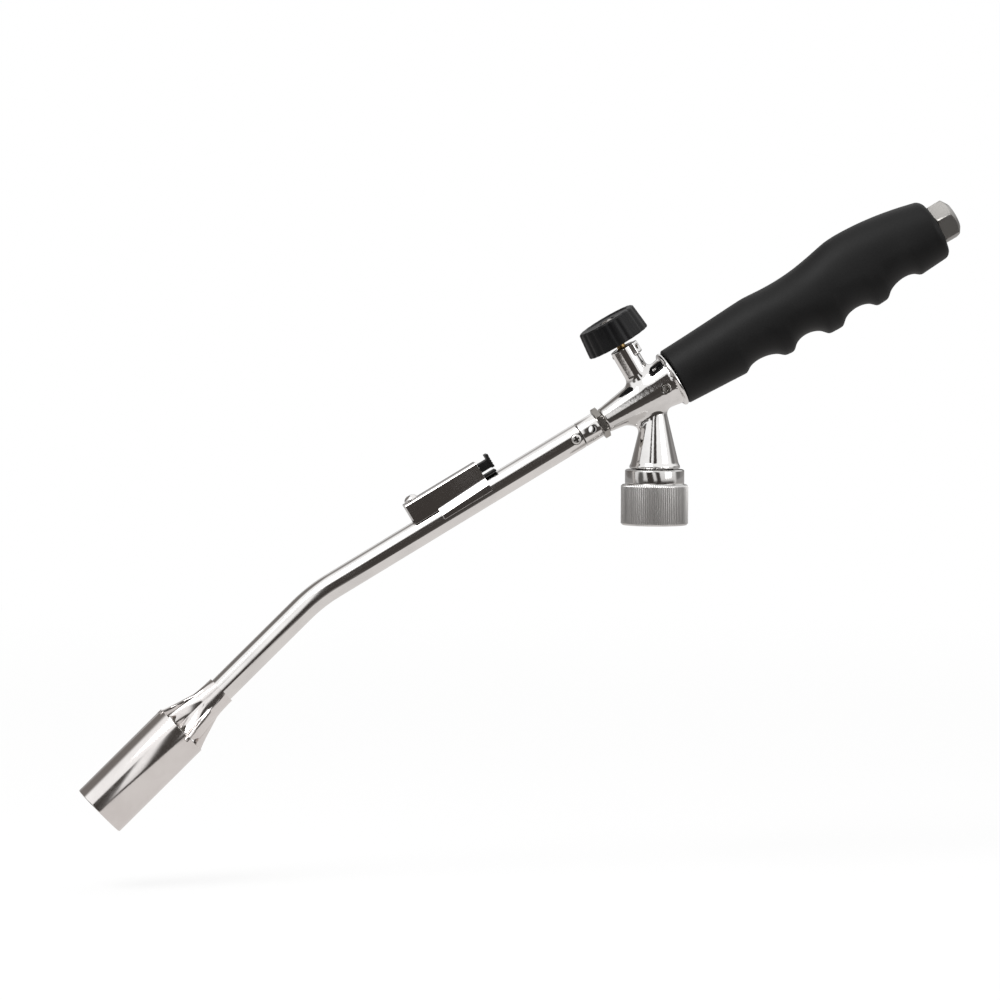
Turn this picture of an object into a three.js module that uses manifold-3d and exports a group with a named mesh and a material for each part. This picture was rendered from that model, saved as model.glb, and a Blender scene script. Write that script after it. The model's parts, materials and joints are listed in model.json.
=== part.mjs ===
// Hand torch that screws onto a disposable propane cylinder, in millimetres, +Z up.
// Origin: centre of the coupling nut's open end. +Z runs up the inlet, +X points to the handle.
import * as THREE from "three";
import { mergeVertices } from "three/addons/utils/BufferGeometryUtils.js";
import Module from "manifold-3d";

const wasm = await Module();
wasm.setup();

// ---- driving dimensions -------------------------------------------------------------------
const seatGap = 0.3; // between faces that seat on each other
const slipGap = 0.2; // radial, between a piece and the bore that it sits in
const barrelTilt = 31.0; // degrees above horizontal, tube and valve body
const gripTilt = 29.9; // degrees above horizontal, handle
const burnerTilt = 44.6; // degrees above horizontal, tube below the bend

const nut = { outerR: 14.25, skirt: 17.2, collarR: 12.55, height: 23.7, threadR: 12.1, shoulder: 18.9 };
const stem = { flangeR: 10.8, flange: 3.6, noseR: 4.9, noseEnd: 6, threadR: 5, threadLength: 7.6, bore: 1.6 };
const inlet = { axisHeight: 57.2, spigotR: 8, drillR: 1.5 };
const cone = { baseR: 10.1, flareR: 10.7, topR: 4.5, topHeight: 49.4 };

const body = { noseR: 5.4, rearR: 10.6, flangeR: 12.3, flange: 2, length: 35.1 };
const inletAt = 25.6; // from the valve body's front face to the inlet axis, along the barrel
const bossAt = 22.4; // from the valve body's front face to the valve boss
const boss = { r: 5.375, height: 22.7, chamberR: 2.3, sealR: 3, glandR: 4, sealFloor: 12, glandFloor: 16.5 };
const lug = { reach: 1.35, width: 4.2, height: 5, turn: -40, holeR: 0.9 };
const rollPin = { at: 28.4, drop: 0.8, r: 1.7, bore: 1.1 };

const spindle = { stemR: 1.9, threadR: 1.95, grooveR: 1.3, tipR: 0.25, top: 32.5 };
const knob = { bottom: 25.2, height: 11.1, bottomR: 14.1, topR: 13, recessR: 3.6 };
const flutes = { count: 20, depth: 0.45 };

const tube = { outerR: 5.5, wall: 1, bendR: 70, toBend: 130.6, afterBend: 64.7 };
const collar = { length: 8.4, spigot: 8, tail: 10, bore: 2.7, airHoleR: 1.7, airHoleAt: 5.1 };
const lockNut = { acrossFlats: 12, thickness: 2.6 };
const tubeScrew = { at: 2.9, headR: 2.15, shankR: 1 };
const threadR = 3.85; // collar tail, lock nut and body socket

const flame = { outerR: 12, wall: 0.9, length: 48.1 };
const neck = { start: 55.7, length: 23.3, socketWall: 0.65, valleyR: 5.2, wall: 1, lobes: 4, turn: 10 };

const grip = { length: 129, halfWidth: 12.6, waist: 1.1, boreR: 3.3 };
const rodR = 3;
const capNut = { acrossFlats: 16, height: 9, turn: 15.6 };
const washer = { r: 9.4, thickness: 1.2 };

// Igniter: distances from the seam along the tube, and heights above the top of the tube.
const bracket = { front: 79.4, rear: 44.5, saddleFront: 68, inset: 1, top: 8.1, sheet: 0.8, skirt: -1.2 };
const piezo = { front: 71.5, rear: 47.2, halfWidth: 3.5, bottom: 0.4, top: 7, earFloor: 4.3 };
const piezoLip = { length: 8.7, top: 1.5 };
const button = { inner: 56, outer: 38.2, halfWidth: 2.8, bottom: 1.8, top: 6.5, lipTop: 8.5 };
const spring = { r: 1.7, wireR: 0.28, turns: 6, from: 65.6 };
const lidScrew = { at: 75.6, headR: 2.9, headHeight: 2, shankR: 1.2, depth: 5 };
const leadR = 0.9;
const insulator = { r: 1.6, from: 60, to: 84 };
const electrode = { r: 0.45, to: 98, tipOut: 8.6 };

// ---- looks --------------------------------------------------------------------------------
const looks = {
  chrome: { color: 0xd9d6d4, roughness: 0.12, metalness: 1 },
  steel: { color: 0xb9b2ae, roughness: 0.25, metalness: 1 },
  darkSteel: { color: 0x4b4844, roughness: 0.4, metalness: 1 },
  nickel: { color: 0xa8a6a2, roughness: 0.3, metalness: 1 },
  zinc: { color: 0x9c9a96, roughness: 0.45, metalness: 0.9 },
  brass: { color: 0xb5934a, roughness: 0.3, metalness: 1 },
  blackPlastic: { color: 0x141414, roughness: 0.5, metalness: 0 },
  softGrip: { color: 0x171717, roughness: 0.75, metalness: 0 },
  rubber: { color: 0x1c1c1c, roughness: 0.85, metalness: 0 },
  ceramic: { color: 0xe9e4d8, roughness: 0.4, metalness: 0 },
  leadJacket: { color: 0x8a2f22, roughness: 0.6, metalness: 0 },
  springWire: { color: 0x8f8f92, roughness: 0.3, metalness: 1 },
  sinter: { color: 0x9d7b46, roughness: 0.9, metalness: 0.7 },
};

// ---- geometry helpers ---------------------------------------------------------------------
const radians = THREE.MathUtils.degToRad;

// A closed three.js geometry as a manifold solid.
function solid(geometry) {
  const bare = geometry.clone();
  bare.deleteAttribute("normal");
  bare.deleteAttribute("uv");
  const merged = mergeVertices(bare, 1e-4);
  return new wasm.Manifold(
    new wasm.Mesh({
      numProp: 3,
      vertProperties: new Float32Array(merged.attributes.position.array),
      triVerts: new Uint32Array(merged.index.array),
    }),
  );
}

// A manifold solid as a named mesh.
function piece(name, shape, look) {
  const made = shape.getMesh();
  const geometry = new THREE.BufferGeometry();
  geometry.setAttribute("position", new THREE.BufferAttribute(made.vertProperties, 3));
  geometry.setIndex(new THREE.BufferAttribute(made.triVerts, 1));
  geometry.computeVertexNormals();
  const mesh = new THREE.Mesh(geometry, new THREE.MeshStandardMaterial(looks[look]));
  mesh.name = name;
  return mesh;
}

const join = (first, ...others) => others.reduce((sum, one) => sum.add(one), first);
const cut = (first, ...others) => others.reduce((rest, one) => rest.subtract(one), first);

// A profile of [radius, height] points turned about Z; it starts and ends on the axis or closes.
function turned(profile, segments = 28) {
  const points = profile.map(([r, h]) => new THREE.Vector2(r, h));
  return new THREE.LatheGeometry(points, segments).rotateX(Math.PI / 2);
}

// The same profile turned about Z as a ring: its first point is repeated to close it.
const turnedRing = (profile, segments) => turned([...profile, profile[0]], segments);

function bar(r, from, to, segments = 18) {
  const geometry = new THREE.CylinderGeometry(r, r, to - from, segments);
  return geometry.rotateX(Math.PI / 2).translate(0, 0, (from + to) / 2);
}

const toX = (geometry) => geometry.rotateY(Math.PI / 2);
const toY = (geometry) => geometry.rotateX(-Math.PI / 2);

function block(x, y, z) {
  const geometry = new THREE.BoxGeometry(x[1] - x[0], y[1] - y[0], z[1] - z[0]);
  return geometry.translate((x[0] + x[1]) / 2, (y[0] + y[1]) / 2, (z[0] + z[1]) / 2);
}

// Rings of points, all of the same count, joined into one closed skin. Rings run along +X and
// each ring turns from +Y towards +Z; a hollow loft walks back through the inside and closes.
function loft(rings, hollow = false) {
  const count = rings[0].length;
  const positions = rings.flat().flatMap((p) => [p.x, p.y, p.z]);
  const faces = [];
  const spans = hollow ? rings.length : rings.length - 1;
  for (let i = 0; i < spans; i++) {
    const here = i * count;
    const next = ((i + 1) % rings.length) * count;
    for (let j = 0; j < count; j++) {
      const k = (j + 1) % count;
      faces.push(here + j, here + k, next + j, here + k, next + k, next + j);
    }
  }
  if (!hollow) {
    const last = (rings.length - 1) * count;
    for (let j = 1; j < count - 1; j++) {
      faces.push(0, j + 1, j, last, last + j, last + j + 1);
    }
  }
  const geometry = new THREE.BufferGeometry();
  geometry.setAttribute("position", new THREE.Float32BufferAttribute(positions, 3));
  return geometry.setIndex(faces);
}

// A round ring about a path point in the XZ plane, square to the path there.
function ringAt(at, heading, r, count) {
  const up = new THREE.Vector3(-Math.sin(heading), 0, Math.cos(heading));
  return Array.from({ length: count }, (_, j) => {
    const angle = (2 * Math.PI * j) / count;
    const p = new THREE.Vector3(at[0], r * Math.cos(angle), at[1]);
    return p.addScaledVector(up, r * Math.sin(angle));
  });
}

function hexBar(acrossFlats, from, to, turn = 0) {
  const hex = bar(acrossFlats / Math.sqrt(3), from, to, 6);
  return hex.rotateZ(radians(turn));
}

// Smooth value through [position, value] knots.
function throughKnots(knots) {
  const curve = new THREE.SplineCurve(knots.map(([s, v]) => new THREE.Vector2(s, v)));
  const points = curve.getPoints(knots.length * 12);
  return (s) => {
    const i = Math.max(1, points.findIndex((p) => p.x >= s));
    const [a, b] = [points[i - 1], points[i]];
    return a.y + ((b.y - a.y) * (s - a.x)) / (b.x - a.x);
  };
}

// ---- frames -------------------------------------------------------------------------------
// Barrel: x along the tube and valve body towards the handle, z square to it and upwards,
// x = 0 on the front face of the valve body.
const barrel = new THREE.Group();
barrel.rotation.y = -radians(barrelTilt);
barrel.position.set(
  -inletAt * Math.cos(radians(barrelTilt)),
  0,
  inlet.axisHeight - inletAt * Math.sin(radians(barrelTilt)),
);
barrel.updateMatrix();

// Handle: x along the grip from its front face.
const gripFront = body.length + seatGap + 0.05;
const handle = new THREE.Group();
handle.position.x = gripFront;
handle.rotation.y = radians(barrelTilt - gripTilt);
handle.updateMatrix();

// Tube stations along the barrel, in front of the valve body.
const lockNutRear = -seatGap;
const lockNutFront = lockNutRear - lockNut.thickness;
const collarRear = lockNutFront - seatGap;
const seam = collarRear - collar.length - seatGap / 2;
const tubeRear = seam - seatGap / 2;

// Tube line: x = 0 at the seam between the tube and the collar, running to the burner at -x.
const tubeLine = new THREE.Group();
tubeLine.position.x = seam;
tubeLine.updateMatrix();

// Burner: x = 0 at the bend's corner, mouth towards -x.
const burner = new THREE.Group();
burner.position.x = -tube.toBend;
burner.rotation.y = -radians(burnerTilt - barrelTilt);

// ---- inlet and coupling -------------------------------------------------------------------
function couplingNut() {
  const edge = 0.6;
  const top = nut.height;
  const spigotBore = inlet.spigotR + 0.4;
  const recessR = stem.flangeR + 0.4;
  const threadTop = nut.shoulder - stem.flange - 1.1;
  const shape = turnedRing(
    [
      [nut.threadR, 0],
      [nut.outerR - edge, 0],
      [nut.outerR, edge],
      [nut.outerR, nut.skirt - edge],
      [nut.outerR - edge, nut.skirt],
      [nut.collarR, nut.skirt],
      [nut.collarR, top - 1],
      [nut.collarR - 0.3, top - 0.3],
      [nut.collarR - 1, top],
      [spigotBore, top],
      [spigotBore, nut.shoulder],
      [recessR, nut.shoulder],
      [recessR, threadTop],
      [nut.threadR, threadTop],
    ],
    36,
  );
  return piece("coupling_nut", solid(shape), "nickel");
}

const flangeTop = nut.shoulder - seatGap;
const flangeBottom = flangeTop - stem.flange;
const stemTop = flangeTop + stem.threadLength;
const filterPocket = { r: 3.2, depth: 4.2 };

function inletStem() {
  const shape = turnedRing(
    [
      [stem.bore, stem.noseEnd],
      [stem.noseR - 1.2, stem.noseEnd],
      [stem.noseR, stem.noseEnd + 2],
      [stem.noseR, flangeBottom],
      [stem.flangeR, flangeBottom],
      [stem.flangeR, flangeTop],
      [stem.threadR, flangeTop],
      [stem.threadR, stemTop],
      [filterPocket.r, stemTop],
      [filterPocket.r, stemTop - filterPocket.depth],
      [stem.bore, stemTop - filterPocket.depth],
    ],
    32,
  );
  return piece("inlet_stem", solid(shape), "brass");
}

function inletFilter() {
  const top = stemTop - 0.4;
  const bottom = stemTop - filterPocket.depth + seatGap;
  return piece("inlet_filter", solid(bar(filterPocket.r - slipGap, bottom, top)), "sinter");
}

function probePin() {
  const r = 1;
  const shape = turned(
    [
      [0, 3],
      [r * 0.6, 3],
      [r, 3.6],
      [r, 10],
      [stem.bore - 0.15, 10.4],
      [stem.bore - 0.15, 14],
      [r, 14.4],
      [r, 18],
      [0, 18],
    ],
    20,
  );
  return piece("probe_pin", solid(shape), "steel");
}

function inletSeal() {
  const inner = stem.noseR + slipGap;
  const outer = stem.flangeR - 1.2;
  const top = flangeBottom - seatGap;
  const shape = turnedRing(
    [
      [inner, top - 1.8],
      [outer, top - 1.8],
      [outer, top],
      [inner, top],
    ],
    32,
  );
  return piece("inlet_seal", solid(shape), "rubber");
}

// ---- valve body ---------------------------------------------------------------------------
const bossDepths = { chamberFloor: -0.5, seatR: 1, seatDepth: 7 };
const socket = { depth: 8, jetDepth: 14.6, jetR: 2.3 };

function bodyTrumpet() {
  const coneEnd = body.length - body.flange - 0.7;
  const profile = [
    [0, 0],
    [body.noseR - 0.4, 0],
  ];
  for (let i = 0; i <= 6; i++) {
    const t = i / 6;
    const x = 0.4 + (coneEnd - 0.4) * t;
    profile.push([body.noseR + (body.rearR - body.noseR) * (0.85 * t + 0.15 * t * t), x]);
  }
  const flangeFront = body.length - body.flange;
  profile.push([body.rearR - 0.3, coneEnd + 0.1], [body.rearR - 0.3, flangeFront]);
  for (let i = 0; i <= 6; i++) {
    const angle = -Math.PI / 2 + (Math.PI * i) / 6;
    const rim = body.flange / 2;
    profile.push([body.flangeR - rim + rim * Math.cos(angle), flangeFront + rim + rim * Math.sin(angle)]);
  }
  profile.push([0, body.length]);
  return toX(turned(profile, 28));
}

function bossOutside() {
  const foot = 7;
  const shape = turned(
    [
      [0, 0],
      [foot, 0],
      [foot, 6],
      [6, 9.2],
      [boss.r, 11],
      [boss.r, boss.height - 0.4],
      [boss.r - 0.4, boss.height],
      [0, boss.height],
    ],
    32,
  );
  return shape.translate(bossAt, 0, 0);
}

function bossLug() {
  const shape = block(
    [boss.glandR - 0.5, boss.r + lug.reach],
    [-lug.width / 2, lug.width / 2],
    [boss.height - lug.height, boss.height],
  );
  return shape.rotateZ(radians(lug.turn)).translate(bossAt, 0, 0);
}

function lugHole() {
  const hole = toX(bar(lug.holeR, boss.glandR - 1, boss.r + lug.reach + 1, 16));
  hole.translate(0, 0, boss.height - lug.height / 2);
  return hole.rotateZ(radians(lug.turn)).translate(bossAt, 0, 0);
}

function inletCone() {
  const base = nut.height + seatGap;
  return turned(
    [
      [0, flangeTop + seatGap],
      [inlet.spigotR, flangeTop + seatGap],
      [inlet.spigotR, base],
      [cone.flareR, base],
      [cone.flareR, base + 0.8],
      [cone.baseR, base + 2.2],
      [cone.topR, cone.topHeight],
      [cone.topR, inlet.axisHeight],
      [0, inlet.axisHeight],
    ],
    28,
  );
}

// Web in the corner between the inlet cone and the underside of the barrel, burner side.
function inletWeb() {
  const outline = new THREE.Shape([
    new THREE.Vector2(-5.6, 38.5),
    new THREE.Vector2(-3.5, 50),
    new THREE.Vector2(-10.6, 45),
    new THREE.Vector2(-11.2, 42.6),
  ]);
  const shape = new THREE.ExtrudeGeometry(outline, { depth: 4.4, bevelEnabled: false });
  return shape.rotateX(Math.PI / 2).translate(0, 2.2, 0);
}

function valveBody() {
  const inBarrel = (geometry) => solid(geometry.applyMatrix4(barrel.matrix));
  const handleInBody = new THREE.Matrix4().multiplyMatrices(barrel.matrix, handle.matrix);
  const chamberTop = boss.height + 1;
  const rodSocket = toX(bar(rodR + slipGap, rollPin.at - gripFront - 2.9, 2));
  const outside = join(
    inBarrel(bodyTrumpet()),
    inBarrel(bossOutside()),
    inBarrel(bossLug()),
    solid(inletCone()),
    solid(inletWeb()),
  );
  const made = cut(
    outside,
    inBarrel(toX(bar(threadR + slipGap, -1, socket.depth))),
    inBarrel(toX(bar(socket.jetR, 0, socket.jetDepth))),
    inBarrel(toX(bar(1.2, 0, bossAt))),
    inBarrel(bar(bossDepths.seatR, -bossDepths.seatDepth, 1, 16).translate(bossAt, 0, 0)),
    inBarrel(bar(boss.chamberR, bossDepths.chamberFloor, chamberTop).translate(bossAt, 0, 0)),
    inBarrel(bar(boss.sealR, boss.sealFloor, chamberTop).translate(bossAt, 0, 0)),
    inBarrel(bar(boss.glandR, boss.glandFloor, chamberTop).translate(bossAt, 0, 0)),
    inBarrel(lugHole()),
    inBarrel(toY(bar(rollPin.r + 0.15, -20, 20)).translate(rollPin.at, 0, -rollPin.drop)),
    solid(rodSocket.applyMatrix4(handleInBody)),
    solid(bar(stem.threadR + slipGap, 0, stemTop + 0.5, 24)),
    solid(bar(inlet.drillR, 0, inlet.axisHeight - 5)),
  );
  return piece("valve_body", made, "chrome");
}

function bodyRollPin() {
  const reach = 9.75;
  const ring = turnedRing(
    [
      [rollPin.bore, -reach],
      [rollPin.r, -reach],
      [rollPin.r, reach],
      [rollPin.bore, reach],
    ],
    24,
  );
  const pin = piece("body_roll_pin", solid(toY(ring)), "darkSteel");
  pin.position.set(rollPin.at, 0, -rollPin.drop);
  return pin;
}

function gasJet() {
  const r = socket.jetR - slipGap;
  const tip = socket.depth + 0.4;
  const rear = socket.jetDepth - seatGap;
  const shape = turnedRing(
    [
      [0.4, tip],
      [0.9, tip],
      [r, tip + 1.4],
      [r, rear],
      [0.4, rear],
    ],
    24,
  );
  return piece("gas_jet", solid(toX(shape)), "brass");
}

// ---- valve stem and knob, about the boss axis ----------------------------------------------
const screwPocket = { r: 1.1, depth: 4.4 };

function valveSpindle() {
  const groove = { low: boss.sealFloor + 1.1, high: boss.sealFloor + 3 };
  const shape = turned(
    [
      [0, -1.3],
      [spindle.tipR, -1.3],
      [1.5, 0.9],
      [spindle.threadR, 1.7],
      [spindle.threadR, groove.low - 0.6],
      [spindle.grooveR, groove.low],
      [spindle.grooveR, groove.high],
      [spindle.stemR, groove.high + 0.4],
      [spindle.stemR, spindle.top],
      [screwPocket.r, spindle.top],
      [screwPocket.r, spindle.top - screwPocket.depth],
      [0, spindle.top - screwPocket.depth],
    ],
    24,
  );
  return piece("valve_spindle", solid(shape), "brass");
}

function stemSealRing() {
  const wire = 0.68;
  const middle = (spindle.grooveR + slipGap / 2 + wire + boss.sealR - slipGap / 2 - wire) / 2;
  const profile = Array.from({ length: 8 }, (_, i) => {
    const angle = (2 * Math.PI * i) / 8;
    return [middle + wire * Math.cos(angle), boss.sealFloor + 2.05 + wire * Math.sin(angle)];
  });
  return piece("stem_o_ring", solid(turnedRing(profile, 24)), "rubber");
}

function glandNut() {
  const bottom = boss.glandFloor + seatGap;
  const top = boss.height - 0.4;
  const ring = turnedRing(
    [
      [spindle.stemR + slipGap, bottom],
      [boss.glandR - slipGap, bottom],
      [boss.glandR - slipGap, top],
      [spindle.stemR + slipGap, top],
    ],
    24,
  );
  const slot = block([-boss.r, boss.r], [-0.5, 0.5], [top - 1, top + 1]);
  return piece("gland_nut", cut(solid(ring), solid(slot)), "brass");
}

function stopScrew() {
  const shape = toX(bar(lug.holeR - 0.15, boss.glandR + 0.1, boss.r + lug.reach - 0.3, 16));
  const screw = piece("stem_stop_screw", solid(shape), "darkSteel");
  screw.position.z = boss.height - lug.height / 2;
  screw.rotation.z = radians(lug.turn);
  return screw;
}

const knobTop = knob.bottom + knob.height;
const knobWeb = { low: spindle.top + seatGap, high: knobTop - 2.1 };

function controlKnob() {
  const perFlute = 4;
  const count = flutes.count * perFlute;
  const levels = [
    [knob.bottom, knob.bottomR - 0.7],
    [knob.bottom + 0.6, knob.bottomR],
    [knobTop - 0.9, knob.topR + 0.1],
    [knobTop, knob.topR - 0.9],
  ];
  const rings = levels.map(([height, r]) =>
    Array.from({ length: count }, (_, j) => {
      const angle = (2 * Math.PI * j) / count;
      const dip = flutes.depth * 0.5 * (1 - Math.cos(flutes.count * angle));
      return new THREE.Vector3(height, (r - dip) * Math.cos(angle), (r - dip) * Math.sin(angle));
    }),
  );
  const outside = solid(loft(rings).rotateY(-Math.PI / 2));
  const made = cut(
    outside,
    solid(bar(spindle.stemR + slipGap, knob.bottom - 1, knobWeb.low)),
    solid(bar(1.3, knob.bottom, knobTop + 1, 16)),
    solid(bar(knob.recessR, knobWeb.high, knobTop + 1)),
  );
  return piece("control_knob", made, "blackPlastic");
}

function knobScrew() {
  const headBottom = knobWeb.high + seatGap;
  const headR = knob.recessR - 0.6;
  const shape = turned(
    [
      [0, spindle.top - screwPocket.depth + 0.5],
      [0.85, spindle.top - screwPocket.depth + 0.5],
      [0.85, headBottom],
      [headR, headBottom],
      [headR, headBottom + 0.7],
      [headR * 0.75, headBottom + 1.3],
      [0, headBottom + 1.5],
    ],
    24,
  );
  const made = cut(solid(shape), crossRecess(headBottom + 0.7, headBottom + 2, 0.7, 3));
  return piece("knob_screw", made, "darkSteel");
}

// Cross-shaped driver recess about Z.
function crossRecess(from, to, width, span) {
  const arm = block([-span / 2, span / 2], [-width / 2, width / 2], [from, to]);
  return join(solid(arm), solid(arm.clone().rotateZ(Math.PI / 2)));
}

function valveStem() {
  const group = new THREE.Group();
  group.position.x = bossAt;
  group.add(valveSpindle(), stemSealRing(), glandNut(), stopScrew(), controlKnob(), knobScrew());
  return group;
}

// ---- collar, lock nut and tube --------------------------------------------------------------
function lockNutPiece() {
  const corner = lockNut.acrossFlats / Math.sqrt(3);
  const chamfer = turned(
    [
      [0, lockNutFront],
      [corner - 0.7, lockNutFront],
      [corner, lockNutFront + 0.4],
      [corner, lockNutRear - 0.4],
      [corner - 0.7, lockNutRear],
      [0, lockNutRear],
    ],
    36,
  );
  const hex = hexBar(lockNut.acrossFlats, lockNutFront, lockNutRear, 0);
  const hole = bar(threadR + slipGap, lockNutFront - 1, lockNutRear + 1);
  const made = cut(solid(toX(hex)).intersect(solid(toX(chamfer))), solid(toX(hole)));
  return piece("lock_nut", made, "darkSteel");
}

const spigotR = tube.outerR - tube.wall - slipGap;

function airCollar() {
  const shape = turnedRing(
    [
      [collar.bore, -collar.spigot],
      [spigotR, -collar.spigot],
      [spigotR, seatGap / 2],
      [tube.outerR, seatGap / 2],
      [tube.outerR, collar.length + seatGap / 2],
      [threadR, collar.length + seatGap / 2],
      [threadR, collar.length + collar.tail],
      [collar.bore, collar.length + collar.tail],
    ],
    32,
  );
  const airHoles = toY(bar(collar.airHoleR, -8, 8)).translate(collar.airHoleAt, 0, 0);
  const screwHole = toY(bar(tubeScrew.shankR + slipGap, -8, 0, 16)).translate(-tubeScrew.at, 0, 0);
  const made = cut(solid(toX(shape)), solid(airHoles), solid(screwHole));
  return piece("air_collar", made, "chrome");
}

function tubeScrewPiece() {
  const out = tube.outerR;
  const shape = turned(
    [
      [0, 3.1],
      [tubeScrew.shankR, 3.1],
      [tubeScrew.shankR, out - 0.75],
      [tubeScrew.headR, out - 0.75],
      [tubeScrew.headR, out - 0.1],
      [tubeScrew.headR * 0.7, out + 0.2],
      [0, out + 0.3],
    ],
    20,
  );
  const made = cut(solid(shape), crossRecess(out - 0.2, out + 1, 0.6, 2.4));
  const screw = piece("tube_screw", made, "steel");
  screw.rotation.x = Math.PI / 2;
  screw.position.x = -tubeScrew.at;
  return screw;
}

// Centreline of the tube as [x, z, heading] in the tube line's frame, from `from` to `past`
// beyond the bend's corner; heading is the angle of travel towards -x.
function tubePath(from, past, straightSteps, bendSteps) {
  const bend = radians(burnerTilt - barrelTilt);
  const tangent = tube.bendR * Math.tan(bend / 2);
  const bendStart = -tube.toBend + tangent;
  const stations = [];
  for (let i = 0; i < straightSteps; i++) {
    stations.push([from + ((bendStart - from) * i) / straightSteps, 0, 0]);
  }
  for (let i = 0; i <= bendSteps; i++) {
    const angle = (bend * i) / bendSteps;
    stations.push([
      bendStart - tube.bendR * Math.sin(angle),
      -tube.bendR * (1 - Math.cos(angle)),
      angle,
    ]);
  }
  for (let i = 1; i <= straightSteps; i++) {
    const reach = tangent + ((past - tangent) * i) / straightSteps;
    stations.push([-tube.toBend - reach * Math.cos(bend), -reach * Math.sin(bend), bend]);
  }
  return stations;
}

function burnerTube() {
  const sides = 24;
  const stations = tubePath(-seatGap / 2, tube.afterBend, 1, 8).reverse();
  const outside = stations.map(([x, z, heading]) => ringAt([x, z], heading, tube.outerR, sides));
  const bore = tube.outerR - tube.wall;
  const inside = stations.map(([x, z, heading]) => ringAt([x, z], heading, bore, sides));
  const pipe = solid(loft([...outside, ...inside.reverse()], true));
  const screwHole = toY(bar(tubeScrew.headR + 0.25, -8, 0, 20)).translate(-tubeScrew.at, 0, 0);
  const slotFloor = tube.outerR - tube.wall - 1.5;
  const slot = leadR + 0.6;
  const leadSlot = block([-leadSlotAt - 2.6, -leadSlotAt + 2.6], [-slot, slot], [slotFloor, tube.outerR + 1]);
  return piece("burner_tube", cut(pipe, solid(screwHole), solid(leadSlot)), "chrome");
}

// ---- igniter ----------------------------------------------------------------------------
const leadSlotAt = bracket.front - 2.2;

// Half of the bracket's section, mirrored: top plate, side leg, and optionally the saddle flare.
function bracketSection(saddle) {
  const outer = tube.outerR - bracket.inset;
  const inner = outer - bracket.sheet;
  const saddleInner = tube.outerR + slipGap;
  const saddleOuter = saddleInner + bracket.sheet;
  const axis = -tube.outerR;
  const right = [[outer, bracket.top]];
  if (saddle) {
    const outerStart = Math.acos(outer / saddleOuter);
    const innerStart = Math.acos(inner / saddleInner);
    for (let i = 0; i <= 5; i++) {
      const angle = outerStart * (1 - i / 5);
      right.push([saddleOuter * Math.cos(angle), axis + saddleOuter * Math.sin(angle)]);
    }
    for (let i = 0; i <= 5; i++) {
      const angle = innerStart * (i / 5);
      right.push([saddleInner * Math.cos(angle), axis + saddleInner * Math.sin(angle)]);
    }
  } else {
    right.push([outer, bracket.skirt], [inner, bracket.skirt]);
  }
  right.push([inner, bracket.top - bracket.sheet]);
  const left = right.map(([y, z]) => [-y, z]).reverse();
  return new THREE.Shape([...right, ...left].map(([y, z]) => new THREE.Vector2(y, z)));
}

// A section drawn as (y, z) swept from x = from to x = to.
function alongBarrel(section, from, to) {
  const shape = new THREE.ExtrudeGeometry(section, { depth: to - from, bevelEnabled: false });
  return shape.rotateX(Math.PI / 2).rotateZ(Math.PI / 2).translate(from, 0, 0);
}

function igniterBracket() {
  const rear = alongBarrel(bracketSection(true), -bracket.saddleFront, -bracket.rear);
  const front = alongBarrel(bracketSection(false), -bracket.front, -bracket.saddleFront + 0.5);
  const plate = block(
    [-bracket.front, -bracket.front + bracket.sheet],
    [bracket.inset - tube.outerR, tube.outerR - bracket.inset],
    [piezo.bottom, bracket.top],
  );
  const hole = bar(lidScrew.shankR + slipGap, bracket.top - 3, bracket.top + 1, 16);
  const made = cut(
    join(solid(rear), solid(front), solid(plate)),
    solid(hole.translate(-lidScrew.at, 0, 0)),
  );
  return piece("igniter_bracket", made, "steel");
}

function piezoUnit() {
  const w = piezo.halfWidth;
  const bore = button.halfWidth + slipGap;
  const main = block([-piezo.front, -piezo.rear], [-w, w], [piezo.bottom, piezo.top]);
  const ear = block([-bracket.front + 1.1, -piezo.front + 1], [-w, w], [piezo.earFloor, piezo.top]);
  const lipEnd = -piezo.rear + piezoLip.length;
  const lip = block([-piezo.rear - 1, lipEnd], [-w + 0.3, w - 0.3], [piezo.bottom, piezoLip.top]);
  const cavity = block(
    [-spring.from - seatGap, 0],
    [-bore, bore],
    [button.bottom - slipGap, button.top + slipGap],
  );
  const screwHole = bar(lidScrew.shankR + slipGap, piezo.earFloor - 1, piezo.top + 1, 16);
  const made = cut(
    join(solid(main), solid(ear), solid(lip)),
    solid(cavity),
    solid(screwHole.translate(-lidScrew.at, 0, 0)),
  );
  return piece("piezo_unit", made, "blackPlastic");
}

function igniterButton() {
  const w = button.halfWidth;
  const shank = block([-button.inner, -button.outer], [-w, w], [button.bottom, button.top]);
  const capX = [-button.outer - 1.3, -button.outer];
  const cap = block(capX, [-w - 0.6, w + 0.6], [button.bottom, button.lipTop]);
  return piece("igniter_button", join(solid(shank), solid(cap)), "blackPlastic");
}

function igniterSpring() {
  const length = spring.from - button.inner - 2 * seatGap - 2 * spring.wireR;
  const steps = spring.turns * 9;
  const middle = (button.bottom + button.top) / 2;
  const rings = [];
  for (let i = 0; i <= steps; i++) {
    const turn = (2 * Math.PI * spring.turns * i) / steps;
    const ring = [];
    for (let j = 0; j < 5; j++) {
      const angle = (2 * Math.PI * j) / 5;
      const r = spring.r + spring.wireR * Math.cos(angle);
      const x = (length * i) / steps - spring.wireR * Math.sin(angle);
      ring.push(new THREE.Vector3(x, r * Math.cos(turn), r * Math.sin(turn)));
    }
    rings.push(ring);
  }
  const start = -spring.from + seatGap + spring.wireR;
  const shape = loft(rings).translate(start, 0, middle);
  return piece("igniter_spring", solid(shape), "springWire");
}

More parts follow.
